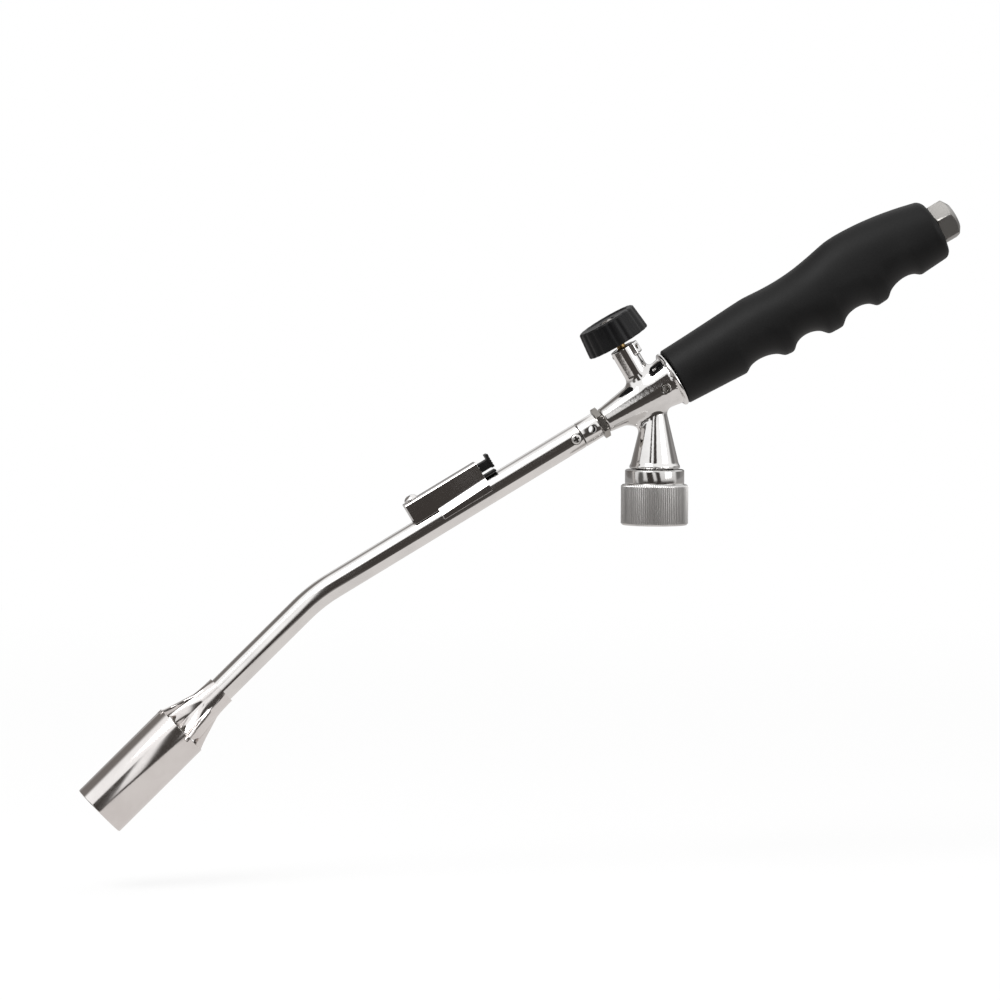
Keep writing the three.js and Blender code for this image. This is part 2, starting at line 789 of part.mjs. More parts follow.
function igniterScrew() {
  const seat = bracket.top + seatGap;
  const dome = [];
  for (let i = 0; i <= 6; i++) {
    const angle = (Math.PI / 2) * (i / 6);
    dome.push([lidScrew.headR * Math.cos(angle), seat + lidScrew.headHeight * Math.sin(angle)]);
  }
  const shape = turned(
    [
      [0, bracket.top - lidScrew.depth],
      [lidScrew.shankR, bracket.top - lidScrew.depth],
      [lidScrew.shankR, seat],
      ...dome,
    ],
    24,
  );
  const screw = piece("igniter_screw", solid(shape), "steel");
  screw.position.x = -lidScrew.at;
  return screw;
}

// High-tension lead: out of the piezo unit, in through the slot and down the middle of the tube.
function ignitionLead() {
  const dive = [
    [-piezo.front - seatGap, tube.outerR + 2.5],
    [-73.6, tube.outerR + 2.2],
    [-75.6, tube.outerR + 0.9],
    [-77.4, tube.outerR - 1.3],
    [-79.4, tube.outerR - 3.3],
    [-82.2, 0.8],
    [-86, 0.1],
  ];
  const curve = new THREE.SplineCurve(dive.map(([x, z]) => new THREE.Vector2(x, z)));
  const stations = curve.getPoints(20).map((p, i) => {
    const slope = curve.getTangent(Math.min(i / 20, 1));
    return [p.x, p.y, Math.atan2(-slope.y, -slope.x)];
  });
  stations.push(...tubePath(-90, insulator.from - seatGap, 6, 6));
  const rings = stations.reverse().map(([x, z, h]) => ringAt([x, z], h, leadR, 8));
  return piece("ignition_lead", solid(loft(rings)), "leadJacket");
}

function igniter() {
  const group = new THREE.Group();
  group.position.z = tube.outerR;
  group.add(igniterBracket(), piezoUnit(), igniterButton(), igniterSpring(), igniterScrew());
  return group;
}

// ---- burner -----------------------------------------------------------------------------
const neckSocketEnd = 0.4;

// Radius of the crimped neck: t runs from the round tube socket (0) to the flame tube (1).
function neckRadius(t, angle, inset) {
  const mouthR = tube.outerR + slipGap + neck.socketWall;
  const socketCrest = mouthR + 1.04;
  const crestR = flame.outerR - 0.1;
  const along = Math.min(1, t / neckSocketEnd);
  const open = Math.max(0, (t - neckSocketEnd) / (1 - neckSocketEnd));
  const crest = mouthR + (socketCrest - mouthR) * along + (crestR - socketCrest) * open;
  const valley = mouthR + (neck.valleyR - mouthR) * open;
  const lobe = Math.pow(0.5 * (1 + Math.cos(neck.lobes * angle)), 2);
  return valley + (crest - valley) * lobe - inset;
}

function burnerNeck() {
  const sides = 40;
  const steps = [0, 0.2, neckSocketEnd, 0.52, 0.64, 0.76, 0.88, 1];
  const skin = (inset) =>
    steps.map((t) =>
      Array.from({ length: sides }, (_, j) => {
        const angle = (2 * Math.PI * j) / sides;
        const inSocket = inset > 0 && t <= neckSocketEnd;
        const r = inSocket ? tube.outerR + slipGap : neckRadius(t, angle, inset);
        return new THREE.Vector3(neck.length * t, r * Math.cos(angle), r * Math.sin(angle));
      }),
    );
  const shape = loft([...skin(0), ...skin(neck.wall).reverse()], true);
  const made = piece("burner_neck", solid(shape.rotateZ(Math.PI)), "chrome");
  made.position.x = -neck.start;
  made.rotation.x = radians(neck.turn);
  return made;
}

function flameTube() {
  const start = -neck.start - neck.length - seatGap;
  const end = start - flame.length;
  const bore = flame.outerR - flame.wall;
  const shape = turnedRing(
    [
      [bore, end],
      [flame.outerR - 0.2, end],
      [flame.outerR, end + 0.3],
      [flame.outerR, start - 0.3],
      [flame.outerR - 0.2, start],
      [bore, start],
    ],
    36,
  );
  return piece("flame_tube", solid(toX(shape)), "chrome");
}

function electrodeInsulator() {
  const shape = turned(
    [
      [0, -insulator.to],
      [insulator.r - 0.3, -insulator.to],
      [insulator.r, -insulator.to + 0.5],
      [insulator.r, -insulator.from - 0.5],
      [insulator.r - 0.3, -insulator.from],
      [0, -insulator.from],
    ],
    20,
  );
  return piece("electrode_insulator", solid(toX(shape)), "ceramic");
}

function sparkElectrode() {
  const stations = [
    [-electrode.to, electrode.tipOut, 0.9],
    [-electrode.to + 3.6, electrode.tipOut - 4.6, 0.9],
    [-electrode.to + 6.4, 0.8, 0.7],
    [-electrode.to + 8.4, 0, 0.15],
    [-insulator.to - seatGap, 0, 0],
  ];
  const rings = stations.map(([x, z, lean]) => ringAt([x, z], -lean, electrode.r, 8));
  return piece("spark_electrode", solid(loft(rings)), "steel");
}

// ---- handle -------------------------------------------------------------------------------
const topLine = throughKnots([
  [-6, 12.5], [0, 12.7], [12, 13.1], [26, 13.9], [38, 14.6], [43, 14.6], [50, 14.15], [58, 14.1],
  [66, 14.6], [74, 15.8], [82, 17.4], [87, 18], [96, 18], [106, 17.1], [116, 15.5], [129, 12.6], [136, 10.6],
]);
const ridgeLine = throughKnots([
  [-6, 12], [0, 12.3], [14, 13], [28, 13.7], [48, 15.6], [70, 17], [92, 16.9], [115, 14.9],
  [129, 14], [136, 13.4],
]);
const fingers = [
  { at: 36.8, half: 8.5, depth: 3.3 },
  { at: 58.6, half: 8, depth: 4.4 },
  { at: 82.5, half: 8.1, depth: 4.1 },
  { at: 105.2, half: 8.3, depth: 3.6 },
];

// The knots above are drawn for a grip of this length and are spread over the real one.
const drawnLength = 129;

function underLine(s) {
  const dip = (one) => {
    const x = (s - one.at) / one.half;
    return Math.abs(x) < 1 ? one.depth * Math.pow(1 - x * x, 0.6) : 0;
  };
  return ridgeLine(s) - fingers.reduce((sum, one) => sum + dip(one), 0);
}

// How far the skin is drawn in at the grip's two ends: a small chamfer in front, a round behind.
function endRounding(s) {
  const round = 2.6;
  const chamfer = Math.max(0, 0.6 - s);
  const past = Math.min(round, Math.max(0, s - (drawnLength - round)));
  return chamfer + round - Math.sqrt(round * round - past * past);
}

function handleGrip() {
  const sides = 24;
  const step = 2.4;
  const stations = [0, 0.6, 7, 14, 21];
  for (let s = 27; s < drawnLength - 3; s += step) {
    stations.push(s);
  }
  stations.push(drawnLength - 2.6, drawnLength - 1.6, drawnLength - 0.7, drawnLength);
  const rings = stations.map((s) => {
    const width = grip.halfWidth + grip.waist * Math.sin((Math.PI * s) / drawnLength) - endRounding(s);
    const top = topLine(s) - endRounding(s);
    const bottom = underLine(s) - endRounding(s);
    return Array.from({ length: sides }, (_, j) => {
      const angle = (2 * Math.PI * j) / sides;
      const z = Math.sin(angle) * (Math.sin(angle) > 0 ? top : bottom);
      return new THREE.Vector3((s * grip.length) / drawnLength, width * Math.cos(angle), z);
    });
  });
  const washerPocket = toX(bar(washer.r + 0.4, grip.length - washer.thickness - 0.3, grip.length + 1, 32));
  const bore = toX(bar(grip.boreR, -1, grip.length + 1));
  const made = cut(solid(loft(rings)), solid(bore), solid(washerPocket));
  return piece("handle_grip", made, "softGrip");
}

const capFront = grip.length + seatGap + 0.1;

function tieRod() {
  const front = rollPin.at - gripFront - 2.6;
  const rod = toX(bar(rodR, front, capFront + capNut.height - 3));
  const pinHole = toY(bar(rollPin.r + 0.4, -8, 8)).translate(rollPin.at - gripFront, 0, -rollPin.drop);
  return piece("handle_tie_rod", cut(solid(rod), solid(pinHole)), "steel");
}

function handleWasher() {
  const ring = turnedRing(
    [
      [rodR + 0.3, grip.length - washer.thickness],
      [washer.r, grip.length - washer.thickness],
      [washer.r, grip.length],
      [rodR + 0.3, grip.length],
    ],
    32,
  );
  return piece("handle_washer", solid(toX(ring)), "zinc");
}

function handleCapNut() {
  const corner = capNut.acrossFlats / Math.sqrt(3);
  const end = capFront + capNut.height;
  const envelope = turned(
    [
      [0, capFront],
      [corner, capFront],
      [corner, end - 2.4],
      [corner - 3.4, end],
      [0, end],
    ],
    36,
  );
  const hex = hexBar(capNut.acrossFlats, capFront, end, 30 + capNut.turn);
  const bore = bar(rodR + 0.15, capFront - 1, end - 2.6);
  const made = cut(solid(toX(hex)).intersect(solid(toX(envelope))), solid(toX(bore)));
  return piece("handle_cap_nut", made, "zinc");
}

// ---- assembly -----------------------------------------------------------------------------
handle.add(handleGrip(), tieRod(), handleWasher(), handleCapNut());
burner.add(burnerNeck(), flameTube(), electrodeInsulator(), sparkElectrode());
tubeLine.add(airCollar(), tubeScrewPiece(), burnerTube(), igniter(), ignitionLead(), burner);
barrel.add(bodyRollPin(), gasJet(), lockNutPiece(), valveStem(), handle, tubeLine);

const torch = new THREE.Group();
torch.add(couplingNut(), inletStem(), inletFilter(), probePin(), inletSeal(), valveBody(), barrel);

export default torch;
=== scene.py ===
import json
import math

import bmesh
import bpy
import numpy as np
from mathutils import Matrix, Quaternion, Vector


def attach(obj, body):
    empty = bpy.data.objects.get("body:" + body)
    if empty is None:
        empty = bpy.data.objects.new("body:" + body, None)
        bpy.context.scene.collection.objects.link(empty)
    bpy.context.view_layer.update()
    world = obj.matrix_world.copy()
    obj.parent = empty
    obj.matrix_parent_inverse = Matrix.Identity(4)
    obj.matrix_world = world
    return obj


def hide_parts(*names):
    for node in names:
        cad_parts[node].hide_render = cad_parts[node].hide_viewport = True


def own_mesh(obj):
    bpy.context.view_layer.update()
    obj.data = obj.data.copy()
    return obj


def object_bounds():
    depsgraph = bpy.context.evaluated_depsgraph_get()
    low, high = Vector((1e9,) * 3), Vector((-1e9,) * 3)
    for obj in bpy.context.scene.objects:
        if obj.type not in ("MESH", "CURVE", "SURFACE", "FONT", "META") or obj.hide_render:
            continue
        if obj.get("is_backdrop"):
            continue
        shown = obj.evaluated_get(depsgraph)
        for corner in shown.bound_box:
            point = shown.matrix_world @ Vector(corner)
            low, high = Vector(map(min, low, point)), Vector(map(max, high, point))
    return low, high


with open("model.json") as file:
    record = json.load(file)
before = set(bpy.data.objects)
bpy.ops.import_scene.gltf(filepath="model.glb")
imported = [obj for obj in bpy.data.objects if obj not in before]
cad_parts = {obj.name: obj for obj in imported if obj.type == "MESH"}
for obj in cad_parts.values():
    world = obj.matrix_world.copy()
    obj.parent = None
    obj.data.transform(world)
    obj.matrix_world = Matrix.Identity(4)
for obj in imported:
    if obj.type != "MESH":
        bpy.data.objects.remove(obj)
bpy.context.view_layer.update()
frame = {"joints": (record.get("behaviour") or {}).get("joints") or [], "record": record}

# ---- frames, in millimetres ----
MM = 0.001
JOINTS = {joint["name"]: joint for joint in frame["joints"]}
MOUNTS = {mount["name"]: mount for mount in frame["record"]["mounts"]}
BOSS_AT = 22.4  # from the valve body's front face to the valve boss, along the barrel


def axes_matrix(origin, along, up):
    """Local x runs along, z runs up; origin in millimetres in the shared frame."""
    side = up.cross(along)
    matrix = Matrix((along, side, up)).transposed().to_4x4()
    matrix.translation = origin
    return matrix


def turned(place, at, degrees, axis):
    """A frame moved to a point of its own and turned about one of its axes."""
    return place @ Matrix.Translation(at) @ Matrix.Rotation(math.radians(degrees), 4, axis)


BARREL_UP = Vector(JOINTS["knob_turn"]["axis"]).normalized()
BARREL_ALONG = -Vector(JOINTS["button_press"]["axis"]).normalized()
BOSS_FOOT = Vector(JOINTS["knob_turn"]["pos_m"]) / MM
BARREL = axes_matrix(BOSS_FOOT - BARREL_ALONG * BOSS_AT, BARREL_ALONG, BARREL_UP)
BOSS = axes_matrix(BOSS_FOOT, BARREL_UP, -BARREL_ALONG)
INLET = axes_matrix(Vector((0, 0, 0)), Vector((0, 0, 1)), Vector((-1, 0, 0)))

GRIP_ALONG = Vector(MOUNTS["cap_nut_end"]["axis"]).normalized()
GRIP_FRONT = 35.45
GRIP = axes_matrix(
    BARREL @ Vector((GRIP_FRONT, 0, 0)), GRIP_ALONG, GRIP_ALONG.cross(Vector((0, 1, 0)))
)

SEAM = -11.75  # seam between the tube and the collar, from the valve body's front face
TUBE = axes_matrix(BARREL @ Vector((SEAM, 0, 0)), BARREL_ALONG, BARREL_UP)
TO_BEND = 130.6
BEND = math.radians(44.6 - 31.0)
BEND_R = 70.0
BURNER = TUBE @ Matrix.Translation((-TO_BEND, 0, 0)) @ Matrix.Rotation(-BEND, 4, "Y")

PIN_AT, PIN_HEIGHT = 28.4, -0.8  # the roll pin, along the barrel and above its axis
BODY_PIN = turned(BARREL, (PIN_AT, 0, PIN_HEIGHT), 90, "Z")
LUG_TURN, STOP_AT = -40, 20.2  # the boss's lug, in degrees, and its stop screw, along the boss
AIR_HOLE = turned(TUBE, (5.1, 0, 0), 90, "Z")
TUBE_SCREW = turned(TUBE, (-2.9, 0, 0), -90, "Z")
IGNITER_SCREW = turned(TUBE, (-75.6, 0, 0), -90, "Y")

# ---- mesh helpers ----
SHARP = math.radians(32)
BODY_OF = {node: body for body, nodes in frame["record"]["behaviour"]["bodies"].items() for node in nodes}


def placed(name, data):
    made = bpy.data.objects.new(name, data)
    bpy.context.scene.collection.objects.link(made)
    return made


def mark_edges(bm, sharp):
    """Smooth faces, with edges sharper than `sharp` kept crisp."""
    for edge in bm.edges:
        edge.smooth = len(edge.link_faces) != 2 or edge.calc_face_angle(0.0) < sharp
    for face in bm.faces:
        face.smooth = True


def skin(name, verts, faces, place, sharp=SHARP):
    """A mesh object from points in local millimetres; edges sharper than `sharp` stay crisp."""
    mesh = bpy.data.meshes.new(name)
    points = [(place @ Vector(v)) * MM for v in verts]
    mesh.from_pydata(points, [], [list(map(int, f)) for f in faces])
    bm = bmesh.new()
    bm.from_mesh(mesh)
    bmesh.ops.remove_doubles(bm, verts=bm.verts, dist=1e-6)
    bmesh.ops.dissolve_degenerate(bm, edges=bm.edges, dist=1e-7)
    bmesh.ops.recalc_face_normals(bm, faces=bm.faces)
    mark_edges(bm, sharp)
    bm.to_mesh(mesh)
    bm.free()
    return placed(name, mesh)


def stand_for(piece, node, material):
    """The piece takes a CAD node's place: its body and a material."""
    piece.data.materials.clear()
    piece.data.materials.append(material)
    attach(piece, BODY_OF[node])
    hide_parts(node)
    return piece


def node_skin(name, node_name, shape, place, material, sharp=SHARP):
    """A piece made of one skin; shape is its points and faces."""
    return stand_for(skin(name, *shape, place, sharp), node_name, material)


def second_material(piece, material, place, holds):
    """Faces whose distance along and from an axis satisfy `holds` get another material."""
    piece.data.materials.append(material)
    to_local = place.inverted()
    for face in piece.data.polygons:
        at = to_local @ (face.center / MM)
        if holds(at.x, math.hypot(at.y, at.z)):
            face.material_index = 1


def rounded(points, closed=False, steps=4):
    """Corners of an outline of (r, x) or (r, x, fillet) points rounded by their fillets."""
    flat = [np.array(p[:2], float) for p in points]
    fillets = [p[2] if len(p) > 2 else 0.0 for p in points]
    made = []
    for i, (corner, fillet) in enumerate(zip(flat, fillets)):
        inner = closed or 0 < i < len(flat) - 1
        if not (fillet and inner):
            made.append(tuple(corner))
            continue
        back = flat[i - 1] - corner
        on = flat[(i + 1) % len(flat)] - corner
        back_length, on_length = np.linalg.norm(back), np.linalg.norm(on)
        back, on = back / back_length, on / on_length
        half = math.acos(np.clip(back @ on, -1, 1)) / 2
        reach = min(fillet / math.tan(half), back_length * 0.49, on_length * 0.49)
        radius = reach * math.tan(half)
        centre = corner + (back + on) / np.linalg.norm(back + on) * radius / math.sin(half)
        first = corner + back * reach - centre
        last = corner + on * reach - centre
        turn = math.atan2(first[0] * last[1] - first[1] * last[0], first @ last)
        for k in range(steps + 1):
            c, s = math.cos(turn * k / steps), math.sin(turn * k / steps)
            made.append((centre[0] + c * first[0] - s * first[1], centre[1] + s * first[0] + c * first[1]))
    return made


def round_angles(count):
    """Equal steps round a circle."""
    return [2 * math.pi * j / count for j in range(count)]


def revolve(profile, segments, closed=False, radius=None):
    """A profile of (r, x) turned about local x; radius(angle, r, x) may reshape each ring."""
    verts, rings = [], []
    for r, x in profile:
        if r < 1e-6:
            rings.append([len(verts)])
            verts.append((x, 0, 0))
            continue
        ring = []
        for angle in round_angles(segments):
            rr = radius(angle, r, x) if radius else r
            ring.append(len(verts))
            verts.append((x, rr * math.cos(angle), rr * math.sin(angle)))
        rings.append(ring)
    faces = []
    for a, b in zip(rings, rings[1:] + (rings[:1] if closed else [])):
        if len(a) == 1 and len(b) == 1:
            continue
        for j in range(segments):
            k = (j + 1) % segments
            if len(a) == 1:
                faces.append((a[0], b[j], b[k]))
            elif len(b) == 1:
                faces.append((a[j], b[0], a[k]))
            else:
                faces.append((a[j], b[j], b[k], a[k]))
    return verts, faces


def hexagon(across, turn, smallest):
    """A radius rule for revolve: rings wider than `smallest` are cut to a hexagon."""
    sector = math.pi / 3

    def shape(angle, r, _):
        local = (angle - turn) % sector - sector / 2
        return min(r, across / 2 / math.cos(local)) if r > smallest else r

    return shape


def simple_turned(name, node_name, outline, place, material, closed=False, segments=64):
    """A turned piece that stands for a CAD node."""
    return node_skin(name, node_name, revolve(rounded(outline, closed), segments, closed), place, material)


def loft(rings, closed=False):
    """Rings of the same number of points joined into a skin; closed joins the last to the first."""
    count = len(rings[0])
    verts = [tuple(p) for ring in rings for p in ring]
    faces = []
    spans = len(rings) if closed else len(rings) - 1
    for i in range(spans):
        here, there = i * count, ((i + 1) % len(rings)) * count
        for j in range(count):
            k = (j + 1) % count
            faces.append((here + j, there + j, there + k, here + k))
    if not closed:
        faces.append(tuple(range(count)))
        faces.append(tuple(range(len(verts) - count, len(verts))))
    return verts, faces


def disc_ring(at, heading, r, count):
    """A ring about a point (x, z) of a path in the local xz plane, square to its heading."""
    up = np.array((-math.sin(heading), 0, math.cos(heading)))
    centre = np.array((at[0], 0, at[1]))
    side = np.array((0, 1, 0))
    return [centre + r * (math.cos(t) * side + math.sin(t) * up) for t in round_angles(count)]


def bake_modifiers(piece):
    """Works a piece's modifiers into its mesh."""
    graph = bpy.context.evaluated_depsgraph_get()
    mesh = bpy.data.meshes.new_from_object(piece.evaluated_get(graph))
    piece.modifiers.clear()
    piece.data = mesh


def combine(piece, operation, others):
    """A boolean of finished pieces; the others are removed."""
    for other in others:
        modifier = piece.modifiers.new("combine", "BOOLEAN")
        modifier.operation = operation
        modifier.solver = "EXACT"
        modifier.object = other
    bake_modifiers(piece)
    for other in others:
        bpy.data.objects.remove(other)
    crease(piece)
    return piece


def cut_with(piece, *cutters):
    return combine(piece, "DIFFERENCE", cutters)


def unite(piece, *others):
    return combine(piece, "UNION", others)


def crease(piece, sharp=SHARP):
    bm = bmesh.new()
    bm.from_mesh(piece.data)
    bmesh.ops.remove_doubles(bm, verts=bm.verts, dist=1e-7)
    mark_edges(bm, sharp)
    bm.to_mesh(piece.data)
    bm.free()


def rod_cutter(place, r, start, end, segments=48):
    """A round cutter along local x of a frame."""
    verts, faces = revolve([(0, start), (r, start), (r, end), (0, end)], segments)
    return skin("cutter", verts, faces, place)


def box_cutter(place, low, high):
    corners = [(x, y, z) for x in (low[0], high[0]) for y in (low[1], high[1]) for z in (low[2], high[2])]
    faces = [(0, 1, 3, 2), (4, 6, 7, 5), (0, 4, 5, 1), (2, 3, 7, 6), (0, 2, 6, 4), (1, 5, 7, 3)]
    return skin("cutter", corners, faces, place)


def cross_recess(place, low, high, width, span):
    """Two crossed cutters in the yz plane of a frame, between two stations along x."""
    first = box_cutter(place, (low, -span / 2, -width / 2), (high, span / 2, width / 2))
    second = box_cutter(place, (low, -width / 2, -span / 2), (high, width / 2, span / 2))
    return first, second


def soften(piece, width, segments=2, angle=40):
    """Bevels the crisp edges of a finished piece by a width in millimetres."""
    modifier = piece.modifiers.new("soften", "BEVEL")
    modifier.width = width * MM
    modifier.segments = segments
    modifier.limit_method = "ANGLE"
    modifier.angle_limit = math.radians(angle)
    modifier.harden_normals = False
    bake_modifiers(piece)
    crease(piece)
    return piece


# ---- materials ----
def new_material(name):
    material = bpy.data.materials.new(name)
    material.use_nodes = True
    tree = material.node_tree
    shader = tree.nodes["Principled BSDF"]
    return material, tree, shader


def node(tree, kind, **values):
    made = tree.nodes.new(kind)
    for key, value in values.items():
        if key in made.inputs:
            made.inputs[key].default_value = value
        else:
            setattr(made, key, value)
    return made


def wired(tree, kind, sources, **values):
    """A new node with links from other nodes' sockets into its own."""
    made = node(tree, kind, **values)
    for socket, source in sources.items():
        tree.links.new(source, made.inputs[socket])
    return made


def object_point(tree):
    """Position in metres in the object's own space."""
    return node(tree, "ShaderNodeTexCoord").outputs["Object"]


def separate(tree, vector):
    return wired(tree, "ShaderNodeSeparateXYZ", {0: vector})


def noise(tree, point, period_mm, detail):
    """Noise whose features are about period_mm across."""
    values = {"Scale": 1000 / period_mm, "Detail": detail, "Roughness": 0.55}
    return wired(tree, "ShaderNodeTexNoise", {"Vector": point}, **values).outputs["Fac"]


def remap(tree, value, low, high, to_low, to_high):
    limits = {"From Min": low, "From Max": high, "To Min": to_low, "To Max": to_high}
    made = wired(tree, "ShaderNodeMapRange", {"Value": value}, interpolation_type="SMOOTHSTEP", **limits)
    return made.outputs["Result"]


def tint(tree, factor, first, second):
    made = wired(tree, "ShaderNodeMix", {0: factor}, data_type="RGBA")
    made.inputs[6].default_value = (*first, 1)
    made.inputs[7].default_value = (*second, 1)
    return made.outputs[2]


def over(tree, below, mask, colour):
    made = wired(tree, "ShaderNodeMix", {0: mask, 6: below}, data_type="RGBA")
    made.inputs[7].default_value = (*colour, 1)
    return made.outputs[2]


def bump(tree, shader, height, depth_mm, below=None):
    sources = {"Height": height} if below is None else {"Height": height, "Normal": below}
    made = wired(tree, "ShaderNodeBump", sources, Strength=1.0, Distance=depth_mm * MM)
    tree.links.new(made.outputs["Normal"], shader.inputs["Normal"])
    return made.outputs["Normal"]


def arithmetic(tree, operation, first, second):
    return wired(tree, "ShaderNodeMath", {0: first, 1: second}, operation=operation).outputs[0]


def within(tree, value, low, high, soft):
    """One between two limits and zero outside them, with soft edges."""
    rise = remap(tree, value, low - soft, low + soft, 0, 1)
    fall = remap(tree, value, high - soft, high + soft, 1, 0)
    return arithmetic(tree, "MULTIPLY", rise, fall)


SMUDGE = 0.06  # how much rougher a smudged spot is


def metal(name, base, worn, rough, ripple=(6.0, 0.004), grain=(0.35, 0.0015), polished_above=None):
    """Plated or bare metal with smudged gloss; ripple and grain are a period and a depth in mm."""
    material, tree, shader = new_material(name)
    point = object_point(tree)
    shader.inputs["Metallic"].default_value = 1.0
    cloud = noise(tree, point, 14.0, 4.0)
    specks = noise(tree, point, 1.1, 2.0)
    colour = tint(tree, remap(tree, cloud, 0.35, 0.7, 0, 1), base, worn)
    tree.links.new(colour, shader.inputs["Base Color"])
    smear = remap(tree, cloud, 0.4, 0.75, rough, rough + SMUDGE)
    pits = remap(tree, specks, 0.66, 0.8, 0.0, 0.09)
    gloss = arithmetic(tree, "ADD", smear, pits)
    if polished_above is not None:
        low, high = polished_above * MM, (polished_above + 0.3) * MM
        share = remap(tree, separate(tree, point).outputs["Z"], low, high, 1.0, 0.3)
        gloss = arithmetic(tree, "MULTIPLY", gloss, share)
    tree.links.new(gloss, shader.inputs["Roughness"])
    wave = noise(tree, point, ripple[0], 2.0)
    first = bump(tree, shader, wave, ripple[1])
    fine = noise(tree, point, grain[0], 3.0)
    bump(tree, shader, fine, grain[1], below=first)
    return material


def polymer(name, base, light, rough, grain_mm, grain_depth, coat=0.0, gloss=0.5):
    """Moulded plastic or rubber: fine grain, slightly uneven gloss and a slightly lighter tone in soft random
    patches.
    """
    material, tree, shader = new_material(name)
    point = object_point(tree)
    cloud = noise(tree, point, 18.0, 4.0)
    grain = noise(tree, point, grain_mm, 2.0)
    colour = tint(tree, remap(tree, cloud, 0.35, 0.75, 0, 1), base, light)
    tree.links.new(colour, shader.inputs["Base Color"])
    tree.links.new(remap(tree, cloud, 0.3, 0.8, rough, rough + 0.1), shader.inputs["Roughness"])
    shader.inputs["Specular IOR Level"].default_value = gloss
    shader.inputs["Coat Weight"].default_value = coat
    shader.inputs["Coat Roughness"].default_value = 0.3
    wave = bump(tree, shader, noise(tree, point, 5.0, 2.0), 0.01)
    bump(tree, shader, grain, grain_depth, below=wave)
    return material


CHROME = metal("chrome_plate", (0.87, 0.855, 0.84), (0.80, 0.785, 0.775), 0.07)
CAST_CHROME = metal(
    "cast_chrome_plate", (0.85, 0.84, 0.83), (0.72, 0.71, 0.70), 0.05,
    ripple=(1.6, 0.013), grain=(0.45, 0.0035),
)
BURNER_STEEL = metal("burner_plate", (0.83, 0.80, 0.785), (0.77, 0.735, 0.72), 0.10, ripple=(9.0, 0.006))
SHEET = metal(
    "sheet_plate", (0.80, 0.775, 0.76), (0.72, 0.70, 0.69), 0.07,
    ripple=(9.0, 0.003), grain=(0.35, 0.0006),
)
DARK_STEEL = metal("dark_steel", (0.34, 0.325, 0.30), (0.42, 0.40, 0.375), 0.16, grain=(0.3, 0.002))
NICKEL = metal(
    "satin_nickel", (0.70, 0.69, 0.68), (0.58, 0.57, 0.56), 0.33,
    ripple=(7.0, 0.01), grain=(0.25, 0.003), polished_above=17.2,
)
BRIGHT_ZINC = metal("bright_zinc", (0.80, 0.785, 0.765), (0.68, 0.665, 0.65), 0.36, grain=(0.3, 0.002))
# Dark metal for the seam under the air collar and for the tube screw's recess: painted shade in that gap and
# that recess.
PAINTED_SHADE_METAL = metal("painted_shade_metal", (0.045, 0.042, 0.038), (0.075, 0.07, 0.064), 0.42, grain=(0.3, 0.004))
ZINC = metal("zinc_plate", (0.36, 0.35, 0.335), (0.28, 0.272, 0.26), 0.34, grain=(0.3, 0.006))
BRASS = metal("brass", (0.30, 0.20, 0.085), (0.22, 0.15, 0.065), 0.26)
SPRING_WIRE = metal("spring_wire", (0.52, 0.52, 0.53), (0.42, 0.42, 0.43), 0.25)
SINTER = metal("sintered_bronze", (0.42, 0.29, 0.14), (0.30, 0.20, 0.10), 0.6, grain=(0.25, 0.06))
KNOB_PLASTIC = polymer(
    "knob_plastic", (0.005, 0.005, 0.0055), (0.009, 0.009, 0.0095), 0.36, 0.35, 0.006, gloss=0.2
)
BLACK_PLASTIC = polymer(
    "black_plastic", (0.006, 0.006, 0.006), (0.011, 0.011, 0.011), 0.42, 0.3, 0.004, gloss=0.25
)
SOFT_GRIP = polymer(
    "soft_grip", (0.0045, 0.0045, 0.0046), (0.0075, 0.0075, 0.0076), 0.5, 0.22, 0.012, gloss=0.21
)
SEAL_RUBBER = polymer("seal_rubber", (0.014, 0.014, 0.014), (0.03, 0.03, 0.03), 0.6, 0.3, 0.01)
CERAMIC = polymer("glazed_ceramic", (0.80, 0.77, 0.70), (0.72, 0.69, 0.62), 0.18, 0.6, 0.003, coat=0.6)
LEAD_JACKET = polymer("lead_jacket", (0.34, 0.05, 0.035), (0.26, 0.04, 0.03), 0.5, 0.3, 0.006)

# ---- inlet ----
KNURL_TEETH = 96
KNURL_DEPTH = 0.42


def coupling_nut():
    skirt, height, outer, collar = 17.2, 23.7, 14.25, 12.55
    shoulder, recess, bore, thread = 18.9, 11.2, 8.4, 12.1
    outside = rounded(
        [
            (thread, 0, 0.25), (outer - 0.75, 0, 0.2), (outer, 0.75, 0.15), (outer, skirt - 0.75, 0.15),
            (outer - 0.75, skirt, 0.15), (collar + 0.15, skirt, 0.15),
            (collar - 0.12, skirt + 0.35, 0.1), (collar, skirt + 0.8, 0.1), (collar, height - 0.2, 0.8),
            (bore, height, 0.25), (bore, shoulder, 0.15), (recess, shoulder), (recess, 14.2),
            (thread, 14.2),
        ]
        + thread_wave(thread, 13.4, 0.9, 1.27),
        closed=True,
        steps=3,
    )

    def knurl(angle, r, x):
        on_skirt = r > collar + 0.3 and 0.02 < x < skirt - 0.02
        tooth = abs(((angle * KNURL_TEETH / (2 * math.pi)) % 1.0) * 2 - 1)
        depth = KNURL_DEPTH * min(1.0, (r - (outer - 0.75)) / 0.75) if on_skirt else 0.0
        return r - max(depth, 0.0) * min(1.0, tooth * 1.35)

    shape = revolve(outside, KNURL_TEETH * 6, True, knurl)
    node_skin("coupling_nut_knurled", "coupling_nut", shape, INLET, NICKEL)


def thread_wave(r, start, end, pitch):
    """Rings of a female thread from x = start down to x = end, as outline points."""
    points, x, depth = [], start, 0.5
    while x - pitch > end:
        points += [(r, x), (r, x - pitch * 0.15), (r + depth, x - pitch * 0.5), (r, x - pitch * 0.85)]
        x -= pitch
    return points


